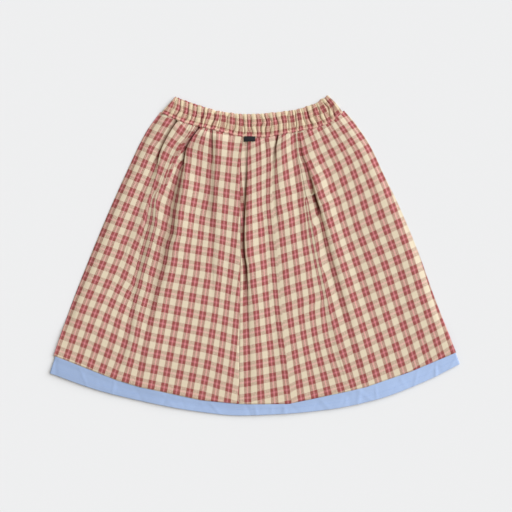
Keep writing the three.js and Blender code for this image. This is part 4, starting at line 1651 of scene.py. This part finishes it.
@dataclass(frozen=True)
class Studio:
    """The pale floor, the soft light and the camera straight above.

    The frame's width, its centre and the level that it is measured at are millimetres, and the
    floor's size is metres. The sun's colour makes up for the ambient tint, so the open floor
    stays neutral.
    """

    frame_width: float = 947.2
    above_floor: float = 5.0
    lens: float = 85.0
    sensor: float = 36.0
    centre: tuple[float, float] = (0.9, -1.8)
    ambient: float = 0.4
    ambient_tint: tuple[float, float, float] = (1.0, 0.91, 0.76)
    sun: float = 3.05
    sun_from: tuple[float, float, float] = (0.62, 0.38, 0.70)
    sun_spread: float = math.radians(70)
    floor_size: float = 6.0
    floor_colour: float = 0.8

    def build(self) -> None:
        """Make the stage, the lights and the camera."""
        bpy.context.scene.view_settings.view_transform = "Standard"
        self.lay_floor()
        self.light()
        self.look()

    def lay_floor(self) -> None:
        """Make the pale floor, which is no part of the skirt."""
        mesh = bpy.data.meshes.new("floor")
        half = self.floor_size / 2
        mesh.from_pydata([(-half, -half, 0), (half, -half, 0), (half, half, 0), (-half, half, 0)], [],
                         [(0, 1, 2, 3)])
        floor = bpy.data.objects.new("floor", mesh)
        bpy.context.scene.collection.objects.link(floor)
        paint = bpy.data.materials.new("floor_paint")
        paint.use_nodes = True
        shader = paint.node_tree.nodes["Principled BSDF"]
        shader.inputs["Base Color"].default_value = (self.floor_colour,) * 3 + (1.0,)
        shader.inputs["Roughness"].default_value = 1.0
        shader.inputs["Specular IOR Level"].default_value = 0.0
        mesh.materials.append(paint)

    def light(self) -> None:
        """Light the stage from all round, and softly from the upper right."""
        world = bpy.data.worlds.new("studio")
        world.use_nodes = True
        sky = world.node_tree.nodes["Background"]
        sky.inputs[0].default_value, sky.inputs[1].default_value = (*self.ambient_tint, 1), self.ambient
        bpy.context.scene.world = world
        lamp = bpy.data.lights.new("key", "SUN")
        lamp.energy, lamp.angle = self.sun, self.sun_spread
        share = self.ambient / (1 - self.ambient)
        lamp.color = [1 + share * (1 - tint) for tint in self.ambient_tint]
        key = bpy.data.objects.new("key", lamp)
        key.rotation_euler = mathutils.Vector(self.sun_from).to_track_quat("Z", "Y").to_euler()
        bpy.context.scene.collection.objects.link(key)

    def look(self) -> None:
        """Hang the camera straight above the skirt."""
        camera = bpy.data.cameras.new("camera")
        camera.lens, camera.sensor_width, camera.sensor_fit = self.lens, self.sensor, "HORIZONTAL"
        eye = bpy.data.objects.new("camera", camera)
        distance = self.frame_width / self.sensor * self.lens + self.above_floor
        eye.location = (self.centre[0] * MM, self.centre[1] * MM, distance * MM)
        bpy.context.scene.collection.objects.link(eye)
        bpy.context.scene.camera = eye


def dress(piece: bpy.types.Object, node: str) -> None:
    """Tie a piece to the frame: attach it to the root body, and hide the solid that it stands for.

    Args:
        piece: the new piece.
        node: the solid that it stands for.
    """
    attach(piece, "root")
    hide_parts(node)
    LOG.info("%s stands for %s", piece.name, node)


@dataclass(frozen=True)
class Finishes:
    """The skirt's materials, and what sews with each slot's thread."""

    check: bpy.types.Material
    band_check: bpy.types.Material
    blue: bpy.types.Material
    tape: bpy.types.Material
    needle: dict[Slot, Stitching]


def make_finishes() -> Finishes:
    """Make the materials.

    Returns:
        The skirt's finishes.
    """
    weave, sett = weave_group(), sett_group()
    band_yarns = Yarns(ground=(224, 206, 173), broad=(150, 79, 74), thin=(212, 134, 135))
    threads = {Slot.CHECK: PlainCloth(weave, "check_thread", warp=(214, 190, 166), weft=(206, 180, 156)),
               Slot.BLUE: PlainCloth(weave, "blue_thread", warp=(158, 180, 216), weft=(150, 172, 208)),
               Slot.TAPE: PlainCloth(weave, "black_thread", warp=(24, 24, 27), weft=(34, 34, 38))}
    return Finishes(
        check=CheckCloth(weave, sett).build(),
        band_check=CheckCloth(weave, sett, yarns=band_yarns).build("check_casing"),
        # The blue cloth is painted lighter towards the right, where the light falls from.
        blue=PlainCloth(weave, "blue_cloth", warp=(153, 175, 213), weft=(171, 189, 218), cloud=0.08,
                        painted_side_light=0.36).build(),
        tape=PlainCloth(weave, "label_tape", warp=(20, 20, 23), weft=(30, 30, 34),
                        surface=Surface(pitch=0.00035, roughness=0.6)).build(),
        needle={slot: Stitching(thread.build(), slot) for slot, thread in threads.items()})


def lay_under(finish: Finishes) -> None:
    """Lay the check front and the two plain layers over it.

    Args:
        finish: the skirt's finishes.
    """
    front = UnderLayer("check_front", HEM, 0.0, 0.0, 0.0, inset=0.0, short=1.0)
    hem = path_at(front.grid(), HEM_STITCHES, BELOW_CLOTH)
    sewn = finish.needle[Slot.CHECK].build("front_hem_stitches", [hem])
    dress(front.build(finish.check), "outer_front")
    blue_front = UnderLayer("blue_front", LONG_HEM, LAYER_MM, LAYER_MM, 0.0, short=2.5)
    dress(blue_front.build(finish.blue), "underskirt_front")
    blue_back = UnderLayer("blue_back", LONG_HEM, 2 * LAYER_MM, 0.6, 1.5, curl=0.9)
    hem = path_at(blue_back.grid(), HEM_STITCHES, ABOVE_CLOTH)
    sewn = finish.needle[Slot.BLUE].build("blue_hem_stitches", [hem])
    dress(blue_back.build(finish.blue), "underskirt_back")


def lay_back(finish: Finishes) -> list[Grid]:
    """Lay the two halves of the check back.

    Args:
        finish: the skirt's finishes.

    Returns:
        The middle of each half, left to right, for the casing to lie on.
    """
    panels = {"outer_back_left": BackPanel("check_back_left", LEFT_LINES, side_is_left=True),
              "outer_back_right": BackPanel("check_back_right", RIGHT_LINES, side_is_left=False)}
    grids = {node: panel.grid() for node, panel in panels.items()}
    for node, panel in panels.items():
        hem = path_at(grids[node], HEM_STITCHES, ABOVE_CLOTH)
        sewn = finish.needle[Slot.CHECK].build(f"{panel.name}_stitches", [hem])
        dress(panel.build(finish.check), node)
    return list(grids.values())


def lay_waist(finish: Finishes, panels: list[Grid]) -> None:
    """Lay the two halves of the casing and the tab.

    Args:
        finish: the skirt's finishes.
        panels: the middle of each half of the back, left to right.
    """
    front = Casing("casing_front", 0.0, 1.6, 0.9, mirrored=True, peek=FAR_EDGE)
    dress(front.build(finish.band_check, []), "waistband_front")
    back = Casing("casing_back", 2.6, 2.0, 2.5, lip=0.04)
    sewn = finish.needle[Slot.CHECK].build("casing_stitches", [back.seam_path(panels)])
    dress(back.build(finish.band_check, panels), "waistband_back")
    tab = Tab()
    sewn = finish.needle[Slot.TAPE].build("tab_stitches", tab.end_paths(TAB_LEVEL_MM))
    dress(tab.build(finish.tape, TAB_LEVEL_MM), "label")


def main() -> None:
    """Build the studio and each piece of the skirt."""
    logging.basicConfig(level=logging.INFO, format="%(name)s: %(message)s")
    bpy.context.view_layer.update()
    Studio().build()
    finish = make_finishes()
    lay_under(finish)
    lay_waist(finish, lay_back(finish))


if __name__ == "__main__":
    main()
